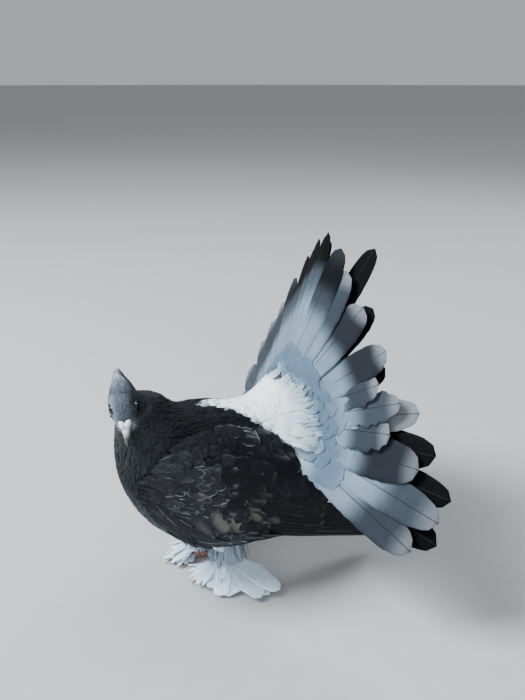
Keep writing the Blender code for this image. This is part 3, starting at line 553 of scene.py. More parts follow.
def body_tint(points):
    """The coat's markings on the head, neck, body and legs, from the place on the bird, with painted light
    and painted shade on the two sides of the head.
    """
    points = np.asarray(points, float)
    x, y, z = points[..., 0], points[..., 1], points[..., 2]
    local = into_head(points)
    grain = np.sin(x * 0.31 + y * 0.17) * np.sin(z * 0.23 - y * 0.29) * 0.5 + 0.5

    def blend(colour, hex_colour, share):
        """A colour with a share of another over it."""
        return mix(colour, linear(hex_colour), np.asarray(share)[..., None])

    tint = np.broadcast_to(linear(CHARCOAL), points.shape)
    for colour, share in (
            # back and nape are blackest, the front of the neck has a faint green gloss
            (SOOT, ease(y, -48, -20) * ease(z, 90, 120)),
            (BREAST_SHEEN, 0.7 * ease(-y, 38, 58) * ease(z, 88, 112) * mix(0.5, 1, grain)),
            (SLATE_AND_SHEEN, 0.85 * ease(-z, -92, -58) * ease(-y, -10, 30)),
            (BELLY_GREY, ease(-z, -60, -36) * ease(-y, -70, 20)),
            # a white wedge opens backwards along the back and spreads over the rump
            (RUMP_WHITE, white_back(points)),
            # behind the fan the vent is blue-grey
            (COVERT_BLUE, 0.8 * ease(y - 66 - 0.3 * (z - 109), 0, 12) * mix(0.6, 1, grain)),
            (BELLY_GREY, 0.8 * ease(y, 60, 84) * ease(-z, -92, -72)),
            (MUFF_BLUE, 0.75 * ease(-z, -42, -28))):
        tint = blend(tint, colour, share)
    # the head: pale on the cheeks and about the bill, dusky round and behind the eyes, with painted light
    # on its right side and painted shade on its left
    ahead, left, high = local[..., 0], local[..., 1], local[..., 2]
    around = np.hypot(ahead - EYE_AT[0], high - EYE_AT[2])
    face = np.broadcast_to(linear(HEAD_BLUE), points.shape)
    for colour, share in (
            # painted light: the head's right side, turned to the key lamp, is paler
            (HEAD_PALE_AND_LIGHT, 0.5 * ease(-left, 2, 9)),
            (HEAD_PALE_AND_LIGHT, 0.9 * ease(ahead, 4, 11) * ease(-high, -0.5, 4)),
            # painted shade: the head's left side, turned from the key lamp, is darker
            (HEAD_DUSK_AND_SHADE, 0.9 * ease(left - 0.1 * ahead, 2.5, 7.5)),
            (HEAD_DUSK_AND_SHADE, 0.8 * ease(np.abs(left), 5, 9) * ease(-ahead, 0, 6)),
            (HEAD_DUSK_AND_SHADE, 0.6 * (1 - ease(around, 4.0, 5.5)) * ease(np.abs(left), 5, 8))):
        face = blend(face, colour, share)
    share = 1 - ease(np.linalg.norm((local - (1.5, 0, 1)) / (1.2, 1, 1.05), axis=-1), 10.5, 15.5)
    return mix(tint, face, share[..., None])


def white_back(points):
    """1 over the white of the lower back and rump, 0 elsewhere."""
    x, y, z = np.abs(points[..., 0]), points[..., 1], points[..., 2]
    line = np.interp(x, (0, 4.5, 8.3, 11.3, 18.4, 28.8, 32.9, 40), (4, 9.2, 16.7, 25.3, 35, 46, 60, 66))
    return ease(y - line, -2.5, 2.5) * ease(z, 66, 82)


def beside_eye(points):
    """The left eye looks over the neck: there the neck's plumage is drawn down, clear of it."""
    local = into_head(points)
    out = local - np.array((EYE_AT[0], 10.0, EYE_AT[2]))
    share = (1 - ease(np.linalg.norm(out, axis=1), 4.0, 10.0)) * ease(local[:, 1], 5.5, 8.5)
    return points + (share[:, None] * (-2.4, 0.6, -3.4)) @ HEAD_TURN.T


def skin():
    """The skin, drawn in by the depth of the coat, and what the coat needs to know of it."""
    mesh = flesh_form()
    points, normals, triangles, _ = mesh_arrays(mesh)
    outer = beside_eye(to_bird(points))
    outside = BVHTree.FromPolygons(outer.tolist(), triangles.tolist())
    depth = mix(COAT_DEPTH, HEAD_COAT_DEPTH, head_share(outer))[:, None]
    inner = outer - normals * depth
    mesh.vertices.foreach_set("co", to_frame(inner).astype(np.float32).ravel())
    mesh.update()
    piece = show("skin", mesh, skin_look(), FLESH)
    bpy.context.view_layer.objects.active = piece
    piece.select_set(True)
    bpy.ops.object.mode_set(mode="EDIT")
    bpy.ops.mesh.select_all(action="SELECT")
    bpy.ops.uv.smart_project(angle_limit=math.radians(66), island_margin=0.004)
    bpy.ops.object.mode_set(mode="OBJECT")
    piece.select_set(False)
    mesh.uv_layers[0].name = "OFBake"
    tint = body_tint(outer)
    paint(mesh, np.c_[tint, np.ones(len(tint))])
    smooth(mesh)
    _, normals, triangles, loops = mesh_arrays(mesh)
    return {"points": inner, "normals": normals, "triangles": triangles,
            "uv": read(mesh.uv_layers["OFBake"].data, "uv", 2)[loops], "outside": outside,
            "inside": BVHTree.FromPolygons(inner.tolist(), triangles.tolist())}


def body_flow(points):
    """The way the feathers lie: from the bill round the head, down the neck and back to the fan."""
    y, z = points[:, 1], points[:, 2]
    turn_front = np.arctan2(-(y - FRONT_PIVOT[0]), -(z - FRONT_PIVOT[1]))
    turn_rear = np.arctan2(y - REAR_PIVOT[0], -(z - REAR_PIVOT[1]))
    front = np.stack([0 * y, np.cos(turn_front), -np.sin(turn_front)], -1)
    rear = np.stack([0 * y, np.cos(turn_rear), np.sin(turn_rear)], -1)
    level = np.stack([0 * y, 1 + 0 * y, 0 * y], -1)
    flow = np.where((y > REAR_PIVOT[0])[:, None], rear, level)
    flow = np.where((y < FRONT_PIVOT[0])[:, None], front, flow)
    # over the sides and belly they droop a little, and on the legs they hang
    flow = flow + np.array([0, 0, -0.3]) * (ease(-z, -125, -80) * ease(-y, -60, -20))[:, None]
    flow = flow + np.array([0, -0.6, -2.0]) * (ease(-z, -34, -25) * ease(-y, -45, -30))[:, None]
    local = into_head(points) - np.array((18.0, 0.0, -3.0))
    over = unit(local) @ HEAD_TURN.T
    return unit(mix(unit(flow), over, head_share(points)[:, None]))


def scatter(form, spacing, keep, seed):
    """Roots over the skin, at least a spacing apart, where keep(points) holds."""
    chance = np.random.default_rng(seed)
    a, b, c = (form["points"][form["triangles"][:, k]] for k in range(3))
    area = np.linalg.norm(np.cross(b - a, c - a), axis=1) / 2
    count = int(area.sum() / spacing**2 * TRIES)
    face = np.searchsorted(np.cumsum(area) / area.sum(), chance.uniform(0, 1, count)).clip(0, len(area) - 1)
    r, s = np.sqrt(chance.uniform(0, 1, count)), chance.uniform(0, 1, count)
    share = np.stack([1 - r, r * (1 - s), r * s], -1)[:, :, None]
    corners = form["triangles"][face]
    points = (form["points"][corners] * share).sum(1)
    normals = unit((form["normals"][corners] * share).sum(1))
    uv = (form["uv"][face] * share).sum(1)
    wanted = keep(points)
    points, normals, uv = points[wanted], normals[wanted], uv[wanted]
    cells, taken, found = np.floor(points / spacing).astype(int), {}, []
    for i, cell in enumerate(map(tuple, cells)):
        near = (taken.get((cell[0] + dx, cell[1] + dy, cell[2] + dz), ()) for dx in (-1, 0, 1)
                for dy in (-1, 0, 1) for dz in (-1, 0, 1))
        if all(((points[i] - points[j]) ** 2).sum() > spacing**2 for group in near for j in group):
            taken.setdefault(cell, []).append(i)
            found.append(i)
    return points[found], normals[found], uv[found]


def nearest(tree, points):
    """The nearest places of a surface, with the way it faces there."""
    found = [tree.find_nearest(Vector(p)) for p in points]
    return np.array([f[0][:] for f in found]), np.array([f[1][:] for f in found])


def coat(form, shape, plumage, spacing, length, width, lift, keep, seed, swing=0.12, ragged=0.2, wave=0.0,
         softness=0.75, uneven=0.16):
    """Small feathers over part of the body, each bent to lie on its neighbours."""
    chance = np.random.default_rng(seed)
    roots, normals, uv = scatter(form, spacing, keep, seed)
    n = len(roots)
    # each feather lies along the flow, turned a little to one side
    flow = body_flow(roots)
    flow = unit(flow - normals * (flow * normals).sum(-1, keepdims=True))
    side = np.cross(normals, flow)
    turn = chance.normal(0, swing, n)[:, None]
    flow = flow * np.cos(turn) + side * np.sin(turn)
    long = length * chance.uniform(0.85, 1.15, n)[:, None]
    wide = width * chance.uniform(0.85, 1.12, n)[:, None]
    # its middle and tip are on the skin too, and it is left out where it would fold over an edge
    middle, middle_way = nearest(form["inside"], roots + flow * long * 0.5)
    tip, tip_way = nearest(form["inside"], middle + unit(unit(middle - roots) + 0.3 * flow) * long * 0.5)
    gone = np.linalg.norm(np.stack([middle - roots, tip - middle]), axis=-1) / (long[:, 0] * 0.5)
    good = ((unit(tip - roots) * flow).sum(-1) > 0.75) & ((tip_way * normals).sum(-1) > 0.3)
    good &= gone.min(0) > 0.7
    roots, normals, uv, side, turn, long, wide, middle, middle_way, tip, tip_way = (
        a[good] for a in (roots, normals, uv, side, turn, long, wide, middle, middle_way, tip, tip_way))
    n = good.sum()
    # it curves across as much as the skin beside it
    flank, _ = nearest(form["inside"], middle + side * wide / 2)
    camber = np.clip(-((flank - middle) * middle_way).sum(-1, keepdims=True), 0, wide * 0.3) * 1.1
    rise = lift * chance.uniform(0.75, 1.25, n)[:, None]
    u, v, under = shape.u[None, :, None], shape.v[None, :, None], shape.under[None, :, None]
    # its spine is the parabola through root, middle and tip
    one, two, three = (1 - u) * (1 - 2 * u), 4 * u * (1 - u), u * (2 * u - 1)
    spine = roots[:, None] * one + middle[:, None] * two + tip[:, None] * three
    up = unit(mix(normals[:, None], tip_way[:, None], u))
    way = unit(tip - roots)[:, None]
    across = unit(np.cross(up, np.broadcast_to(way, up.shape)))
    worn = chance.uniform(0, 1, (n, shape.rows + 1))[:, shape.row][:, :, None]
    half = wide[:, None] / 2 * leaf(u) * (1 - ragged * worn * np.abs(v) ** 3)
    high = mix(-0.5, rise[:, None], u**0.8) + wave * np.sin(u * 3 + turn[:, None] * 20)
    high = high - camber[:, None] * v * v + np.where(under > 0.5, -0.05, np.where(under < 0.5, 0.08, 0))
    points = spine + up * high + across * (half * v) + way * (np.abs(v) * half * 0.4 * (1 - 0.6 * u))
    lie = np.concatenate(np.broadcast_arrays(long[:, None] * u / 10, half * v / 10), -1)
    edge = np.maximum(np.abs(v), ease(u, 0.75, 1.0))
    trim = np.concatenate(np.broadcast_arrays(edge, np.zeros((n, 1, 1))), -1)
    tint = body_tint(mix(roots, tip, 0.7)) * (1 + uneven * chance.uniform(-1, 1.2, n))[:, None]
    tint = tint[:, None] * mix(0.85, 1.04, ease(u, 0.2, 0.9))
    plumage.put(shape, {"points": points, "soft": up, "lie": lie, "trim": trim, "shaft": 0.0}, tint,
                root_patches(shape, uv), softness)


# Wings

def wing_axis(y):
    """Height of the line that a wing's chart turns about."""
    return np.interp(y, (-60, -20, 20, 60, 95, 135), (92.0, 86.0, 79.0, 66.0, 52.0, 36.0))


def wing_reaches(form, ys, ts):
    """How far the wing's inner face lies from its axis: over the body, or free behind it."""
    grid = np.zeros((len(ys), len(ts)))
    for i, y in enumerate(ys):
        half = np.interp(y, (-60, -35, -10, 30, 70, 100, 135), (20, 33, 42, 44, 45, 47, 50))
        tall = np.interp(y, (-60, -35, -10, 30, 70, 100, 135), (30, 40, 47, 47, 42, 36, 30))
        for j, t in enumerate(ts):
            way = Vector((math.cos(t / WING_REACH), 0, math.sin(t / WING_REACH)))
            hit, normal, _, far = form["outside"].ray_cast(Vector((0, y, float(wing_axis(y)))), way)
            flesh = far if hit is not None and normal.dot(way) > 0 and far > 6 else 0.0
            own = 1 / math.hypot(way.x / half, way.z / tall)
            reach = (flesh**8 + own**8) ** 0.125
            # towards the middle of the back the feathers lie on the body itself
            grid[i, j] = mix(reach, flesh + 1.0, float(ease(t, 26, 44))) if flesh else reach
    return grid


def wing_chart(grid, ys, ts, sign):
    """The chart of a wing: y along, t round (up is positive) and h out."""
    def chart(y, t, h):
        """Reads the grid between its places."""
        i = np.clip((y - ys[0]) / (ys[1] - ys[0]), 0, len(ys) - 1.001)
        j = np.clip((t - ts[0]) / (ts[1] - ts[0]), 0, len(ts) - 1.001)
        a, b = i.astype(int), j.astype(int)
        f, g = i - a, j - b
        r = h + mix(mix(grid[a, b], grid[a + 1, b], f), mix(grid[a, b + 1], grid[a + 1, b + 1], f), g)
        turn = t / WING_REACH
        return np.stack([sign * np.cos(turn) * r, y + 0 * r, wing_axis(y) + np.sin(turn) * r], -1)
    return chart


# The border of a folded wing's arm: places along, its lower and its upper edge
BORDER = ((-42.0, -34.0, -20.0, 0.0, 16.0, 30.0), (-6.0, -24.0, -38.0, -45.0, -44.0, -38.0),
          (8.0, 20.0, 33.0, 38.0, 36.0, 30.0))


def wing_rows(chance):
    """Every feather of a wing by tier, the first of each the lowest: (shape, rows, tier name)."""
    def tier(count, starts, ends, width, lifts, tilt, jitter=1.2, **other):
        """Feathers from the lowest to the highest, each between its own start and end."""
        rows = []
        for i in range(count):
            f = i / max(1, count - 1)
            p, q = (starts[0][k] + (starts[1][k] - starts[0][k]) * f for k in (0, 1))
            a, b = (ends[0][k] + (ends[1][k] - ends[0][k]) * f for k in (0, 1))
            a, b = a + chance.uniform(-jitter, jitter), b + chance.uniform(-jitter, jitter) * 0.4
            w = (width[0] + (width[1] - width[0]) * f) * chance.uniform(0.94, 1.06)
            rows.append(feather(p, q, math.atan2(b - q, a - p), math.hypot(a - p, b - q), w, lifts,
                                tilt=-tilt, **other))
            if "ragged" in other:
                rows[-1]["blunt"] = chance.uniform(0.45, 0.85)
        return rows

    flight = {"ridge": 0.3, "camber": 0.02, "thick": 0.4, "skew": 0.3, "blunt": 0.42, "shaft": 0.5}
    cover = {"ridge": 0.05, "camber": 0.03, "thick": 0.22, "neck": 0.5, "ragged": 0.3, "wave": 0.3}
    tiers = [
        (LONG, tier(10, ((12, -41), (20, -18)), ((135, -31), (108, -3)), (12.5, 15), (3.2, 3.0), 1.2,
                    bend=0.08, **flight), "primary"),
        (LONG, tier(10, ((18, -24), (14, 20)), ((80, -22), (82, 9)), (14, 15), (3.4, 5.0), 0.8, **flight),
         "secondary"),
        (LONG, tier(4, ((12, 14), (10, 26)), ((72, 4), (60, 20)), (16, 17), (4.0, 5.8), 0.6, **cover),
         "tertial"),
        (MEDIUM, tier(5, ((6, -40), (8, -33)), ((44, -43), (52, -34)), (8, 11), (4.0, 5.6), 0.6, **cover),
         "primary cover"),
        (MEDIUM, tier(12, ((4, -33), (2, 24)), ((42, -38), (39, 18)), (13, 14),
                       (4.2, 6.0), 0.5, 3.5, **cover),
         "greater"),
        (MEDIUM, tier(12, ((-4, -33), (-4, 24)), ((30, -38), (29, 20)), (12, 13),
                       (4.4, 6.4), 0.4, 3.5, **cover),
         "greater"),
        (MEDIUM, tier(13, ((-10, -33), (-10, 24)), ((20, -38), (20, 22)), (11, 12),
                       (4.5, 6.7), 0.4, 3.0, **cover),
         "median"),
    ]
    for k in range(6):
        ahead = 13.0 - 8.4 * k
        low, high = -35 + 1.2 * k + (4.2 * (k - 2) if k > 2 else 0), 25 - 2.2 * k
        size = 9.0 - 0.7 * k
        tiers.append((SMALL, tier(19 - k, ((ahead - 18, low + 3), (ahead - 17, high)),
                                  ((ahead, low), (ahead, high - 1)), (size, size),
                                  (4.0 - 0.3 * k, 6.6 - 0.35 * k), 0.35, 5.5, **cover), "lesser"))
    # a few drooping coverts with dusty pale vanes, and slim feathers round the lower edge
    droop = {"neck": 0.5, "ragged": 0.15, "camber": 0.03, "thick": 0.25}
    rows = [feather(y, t, math.radians(aim), long, wide, (5.0, 6.6), blunt=0.6, tilt=-0.5, bend=0.25,
                    **droop)
            for y, t, aim, long, wide in ((-12, 1, -58, 29, 13.5), (-1, -1, -56, 29, 14),
                                          (13, 0, -46, 22, 11), (-22, -8, -54, 22, 9),
                                          (28, -6, -36, 20, 9))]
    tiers.append((MEDIUM, rows, "dusty"))
    rows = [feather(y, t, math.radians(aim), long, 7.5, (4.0, 7.0), bend=bend, tilt=0.3, **droop)
            for y, t, aim, long, bend in ((-41, -6, -54, 42, 0.9), (-37, -12, -50, 44, 0.9),
                                          (-30, -19, -42, 44, 0.75), (-20, -25, -30, 44, 0.55),
                                          (-6, -29, -14, 42, 0.3), (10, -31, -6, 40, 0.15))]
    tiers.append((MEDIUM, rows, "edge"))
    # the scapulars fall from the back over the wing; their tips trace the edge of the white wedge
    line = np.array(((66, 27), (61, 33), (54, 38.5), (46, 43)), float)
    for k in range(3):
        rows = []
        for j, (y, t) in enumerate(line):
            long, wide = 33 - 2.4 * j - 2 * k, 17 - 1.5 * j - k
            y, t = y - 9.5 * k + chance.uniform(-1.5, 1.5), t + 0.3 * k + chance.uniform(-0.8, 0.8)
            aim = -0.16 + 0.02 * j + chance.uniform(-0.06, 0.06)
            rows.append(feather(y - long * math.cos(aim), t - long * math.sin(aim), aim, long, wide,
                                (-0.8, (3.4, 2.8, 1.8, 0.8)[j] + 0.2 * k), tilt=-0.15, **cover))
        tiers.append((MEDIUM, rows, "scapular"))
    # marginal coverts run from the shoulder over the wing's front and upper border
    rows = []
    for _ in range(420):
        f, out = chance.uniform(0, 1), chance.uniform(-9, 7)
        if chance.uniform() < 0.6:
            y = -44 + 62 * f
            t = float(np.interp(y, BORDER[0], BORDER[2])) + out * 0.8
        else:
            y = -44 + 40 * f
            t = float(np.interp(y, BORDER[0], BORDER[1])) - out * 0.8
        aim = chance.normal(-0.12 if t > 0 else 0.05, 0.14)
        rise = float(np.clip(4.2 - 0.4 * out, 1.4, 4.8))
        rows.append(feather(y - 8 - out * 0.3, t, aim, chance.uniform(9, 13), chance.uniform(4, 5.5),
                            (-0.8, rise), arch=0.8, thick=0.2, camber=0.05, ragged=0.25))
    tiers.append((SLIM, rows, "marginal"))
    return tiers


# Places on the wing (along, round) where the coverts are dusty pale, with reach and strength
WING_MARKS = ((13.0, -30.0, 7.0, 0.4), (-8.0, -27.0, 7.0, 0.4), (40.0, -27.0, 6.0, 0.4),
              (60.0, -19.0, 6.0, 0.35), (2.0, 12.0, 5.0, 0.35), (-16.0, 4.0, 6.0, 0.4),
              (18.0, 4.0, 5.0, 0.3), (34.0, 2.0, 5.0, 0.25))
# How strongly the edges of each tier are laced
WING_LACING = {"primary": 0.22, "secondary": 0.14, "tertial": 0.08, "primary cover": 0.4, "greater": 0.16,
               "median": 0.16, "lesser": 0.18, "scapular": 0.05, "marginal": 0.0, "dusty": 0.0, "edge": 0.7}


def wing_tint(rows, shape, tier, chance):
    """Soot-black vanes; the wrist is finely laced and carries a bluish-grey painted sheen, and some coverts
    carry a dusty patch.
    """
    n = len(rows)
    c = columns(rows)
    u, v = shape.u[None, :, None], shape.v[None, :, None]
    along = (c["p"] + 0.75 * c["length"] * np.cos(c["aim"]))[:, 0]
    around = (c["q"] + 0.75 * c["length"] * np.sin(c["aim"]))[:, 0]
    wrist = ease(-along, -17, 12) * ease(around, -40, -24) * ease(-around, -38, -24)
    clump = 0.7 + 0.8 * np.sin(0.29 * along + 0.21 * around + 1) * np.sin(0.33 * around - 0.16 * along + 2)
    for i, row in enumerate(rows):
        wristy = 0.0 if tier == "dusty" else 0.3 if tier == "marginal" else 1.6
        lace = WING_LACING[tier] + wristy * wrist[i] * clump[i]
        row["lace"] = lace * (0.1 + 1.3 * chance.uniform() ** 2)
        if tier == "scapular":
            near = math.exp(-((along[i] - 26) ** 2 + (around[i] - 41) ** 2) / 80)
            row["lace"] += 0.6 * chance.uniform() * near
    tint = np.broadcast_to(linear(SOOT), (n, len(shape.u), 3)) * each(chance, 0.8, 1.6, n)
    # a bluish-grey painted sheen over the wrist
    tint = mix(tint, linear(SLATE_AND_SHEEN), (0.3 * wrist * chance.uniform(0.55, 1.15, n))[:, None, None])
    marked = np.zeros(n)
    for y, t, reach, strength in WING_MARKS:
        marked = np.maximum(marked, strength * np.exp(-((along - y) ** 2 + (around - t) ** 2) / reach**2))
    marked = np.where((marked > 0.25) & (tier != "marginal"), marked, 0.0) * chance.uniform(0.6, 1.1, n)
    if tier == "edge":
        marked = np.array((0.0, 0.1, 0.3, 0.5, 0.5, 0.35))
        spot = ease(u, 0.2, 0.6) * (1 - ease(np.abs(v - 0.3), 0.2, 0.6))
    elif tier == "dusty":
        marked = np.array((1.0, 1.0, 0.7, 0.4, 0.35))
        spot = ease(u, 0.2, 0.5) * (1 - ease(u, 0.86, 0.97)) * (1 - ease(np.abs(v + 0.15), 0.3, 0.75))
    elif tier == "primary":
        spot = ease(u, 0.3, 0.7) * ease(-v, 0.2, 0.8)
        marked = np.maximum(marked, np.where(np.arange(n) < 3, 0.35, 0.0))
    else:
        spot = ease(u, 0.35, 0.75) * (1 - ease(u, 0.88, 1.0)) * ease(0.95 - np.abs(v - 0.2), 0.0, 0.6)
    tint = mix(tint, linear(WING_PATCH), spot * marked[:, None, None])
    # a pale smudge beside the tip of every third covert
    smudged = np.where(chance.uniform(0, 1, n) < 0.34, chance.uniform(0.15, 0.5, n), 0.0)[:, None, None]
    smudged = smudged * (tier in ("greater", "median", "lesser", "scapular"))
    beside = each(chance, -0.8, 0.8, n)
    streak = 1 - ease(np.abs(v - beside - 0.4 * (u - 0.8)), 0, 0.34)
    streak = streak * ease(u, 0.45, 0.85) * (1 - ease(u, 0.93, 1.0))
    return mix(tint, linear(WING_LACE), streak * smudged)


def wing(side, grid, ys, ts, look):
    """A folded wing: its tiers of feathers, and a pad that fills its arm."""
    chance = np.random.default_rng(31 if side == "left" else 32)
    chart = wing_chart(grid, ys, ts, SIGN[side])
    plumage, layers = Plumage(), []
    for shape, rows, tier in wing_rows(chance):
        tint = wing_tint(rows, shape, tier, chance)
        layers.append((shape, lay(shape, rows, chart), tint, 0.5 if shape is LONG else 0.8))
    plumage.put_layers(layers)
    arm = Shape(14, 10, False)
    y = -42 + 72 * arm.u
    t = mix(np.interp(y, BORDER[0], BORDER[1]), np.interp(y, BORDER[0], BORDER[2]), (arm.v + 1) / 2)
    plump = np.clip(1 - arm.v**2, 0, 1) ** 0.6 * np.clip(1 - ((y + 10) / 44) ** 2, 0, 1)
    plumage.line(arm, chart(y, t, np.where(arm.under > 0.5, 0.9, 1.9 + 2.4 * plump)), SOOT)
    plumage.make("wing_" + side + "_feathers", look, "slate_plumage", ["wing_" + side])


# Tail

def fan_direction(turn):
    """The way a tail feather points, turned from the middle one towards the bird's left."""
    rise, sweep = math.radians(TAIL_RISE), math.radians(TAIL_SWEEP)
    c, s = np.cos(turn), np.sin(turn)
    back = np.sqrt(s * s + FAN_FOLD) - math.sqrt(FAN_FOLD)
    return unit(np.stack([s * math.cos(sweep), c * math.cos(rise) + back * math.sin(sweep),
                          c * math.sin(rise)], -1))


def fan_chart(p, q, h):
    """The fan laid flat: p to the bird's left, q up its middle from the root, h in front."""
    turn, far = np.arctan2(p, q), np.hypot(p, q)
    way = fan_direction(turn)
    front = unit(np.cross(fan_direction(turn + 0.01) - fan_direction(turn - 0.01), way))
    front = np.where(front[..., 1:2] > 0, -front, front)
    return np.array(TAIL_AT) + way * far[..., None] + front * np.asarray(h)[..., None]


# Turn in degrees and reach of the front and rear feathers, from the bird's right to its left
FRONT_FEATHERS = ((-108.0, 138.0), (-96.0, 146.0), (-84.0, 141.0), (-72.0, 137.0), (-60.0, 133.0),
                  (-48.0, 138.0), (-31.0, 141.0), (-18.0, 146.0), (-7.0, 148.0), (3.0, 139.0),
                  (11.0, 127.0), (25.0, 115.0), (46.5, 112.0), (57.5, 100.0), (68.0, 114.0),
                  (78.0, 106.0), (88.0, 129.0), (97.5, 153.0), (106.5, 146.0))
REAR_FEATHERS = ((-102.0, 141.0), (-90.0, 146.0), (-78.0, 143.0), (-66.0, 139.0), (-53.0, 141.0),
                 (-38.0, 157.0), (-25.0, 150.0), (-12.0, 144.0), (14.0, 150.0), (27.5, 118.0),
                 (51.0, 104.0), (71.0, 123.0), (83.0, 136.0), (93.0, 153.0), (104.0, 156.0))


def tail_tint(shape, rows, chance, black):
    """Blue-grey with a slate band before a pale tip; in the middle of the fan, black tips with painted
    shade instead.
    The rear layer, behind the front one, shows only its black, which is partly painted shade."""
    n = len(rows)
    u, v = shape.u[None, :, None], shape.v[None, :, None]
    turn = np.degrees(math.pi / 2 - columns(rows)["aim"])[:, :, None]
    at = u + 0.05 * v * v + each(chance, -0.04, 0.04, n)
    # the rear layer lies behind the front one: its black band doubles as painted shade
    if black:
        tint = mix(linear(TAIL_BAND), linear(TAIL_BLACK_AND_SHADE), ease(at, 0.3, 0.55))
        tint = tint * each(chance, 0.8, 1.2, n)
        pale = ((turn > 60) & (turn < 76)) * ease(at, 0.3, 0.5)
        return mix(tint, linear(TAIL_TIP), 0.8 * pale)
    tint = np.broadcast_to(linear(TAIL_BLUE), (n, len(shape.u), 3))
    tint = tint * each(chance, 0.92, 1.08, n)
    # black tips in the middle of the fan, partly a black band and partly painted shade
    dark = ease(8 - turn, 0, 6) * ease(turn, -58, -45)
    shade = mix(0.85, 1.0, ease(turn, 10, 30) * ease(-turn, -60, -40)) + 0.12 * ease(turn, 62, 75)
    shade = shade * each(chance, 0.9, 1.1, n)
    at = at - np.where((turn > 95) & (turn < 100), 0.05, 0.0)
    tint = mix(tint, linear(TAIL_BAND), ease(at, 0.46, 0.66) * np.minimum(shade, 1))
    tint = mix(tint, linear(TAIL_BLACK_AND_SHADE), dark * ease(at, 0.68, 0.8))
    tip = mix(0.75, 0.5, ease(turn, 75, 90)) * (1 - dark) * ease(u, 0.84, 0.97)
    return mix(tint, linear(TAIL_TIP), tip)


def fan_rows(turns, start, width, lifts, tilt, chance, **other):
    """Feathers of the fan at their turns, each from a start out to its own reach."""
    rows = []
    for turn, reach in turns:
        way = math.radians(90 - turn)
        side = 1 if turn >= 0 else -1
        rows.append(feather(math.cos(way) * start, math.sin(way) * start, way, reach - start,
                            (width if reach < 140 else width * 0.84) * chance.uniform(0.96, 1.05),
                            (lifts[0], lifts[1] + chance.uniform(-0.25, 0.25)), tilt=-side * tilt,
                            bend=chance.uniform(-0.05, 0.05), **other))
    return rows


def fan_fluff(form, chance):
    """Soft feathers that carry the white of the rump over the corner on to the foot of the fan."""
    rows, feet, ways, ups, tints = [], [], [], [], []
    for ahead in np.repeat((2.0, 6.0, 10.0, 14.0, 18.0, 22.0), 84):
        turn, ahead = math.radians(chance.uniform(-100, 100)), ahead + chance.uniform(-3, 3)
        reach = np.interp(ahead, (0, 24), (48, 32)) * np.interp(abs(turn), (0, 0.9, 1.7), (0.88, 1, 1.16))
        reach += chance.uniform(-5, 4)
        far, high = np.array((24, 24, reach)), np.array((ahead, ahead + 1, 3.4 + 0.12 * ahead))
        points = fan_chart(math.sin(turn) * far, math.cos(turn) * far, high)
        foot, normal = nearest(form["inside"], points[:1])
        forward = unit(points[1] - points[0])
        if normal[0] @ forward < -0.4:
            continue
        feet.append(foot[0])
        ways.append(points[2] - foot[0])
        ups.append(unit(normal[0] + 1.5 * forward))
        rows.append(feather(0, 0, 0, np.linalg.norm(ways[-1]), 4.8 * chance.uniform(0.8, 1.2), (-0.8, 0.2),
                            arch=0.7, thick=0.1, camber=0.04, blunt=0.75, ragged=0.5, neck=0.6, wave=0.1))
        blue = (1 - 0.45 * ease(ahead, 0, 24)) * chance.uniform(0.75, 1.1)
        tint = mix(linear(RUMP_WHITE), linear(RUMP_BLUE), blue * ease(SMALL.u, 0.15, 0.65)[:, None])
        tint = mix(tint, linear(COVERT_BLUE), blue * ease(reach, 36, 50) * ease(SMALL.u, 0.5, 1)[:, None])
        tints.append(tint * chance.uniform(0.97, 1.03))
    return SMALL, lay(SMALL, rows, standing(feet, ways, ups)), np.array(tints), 0.93


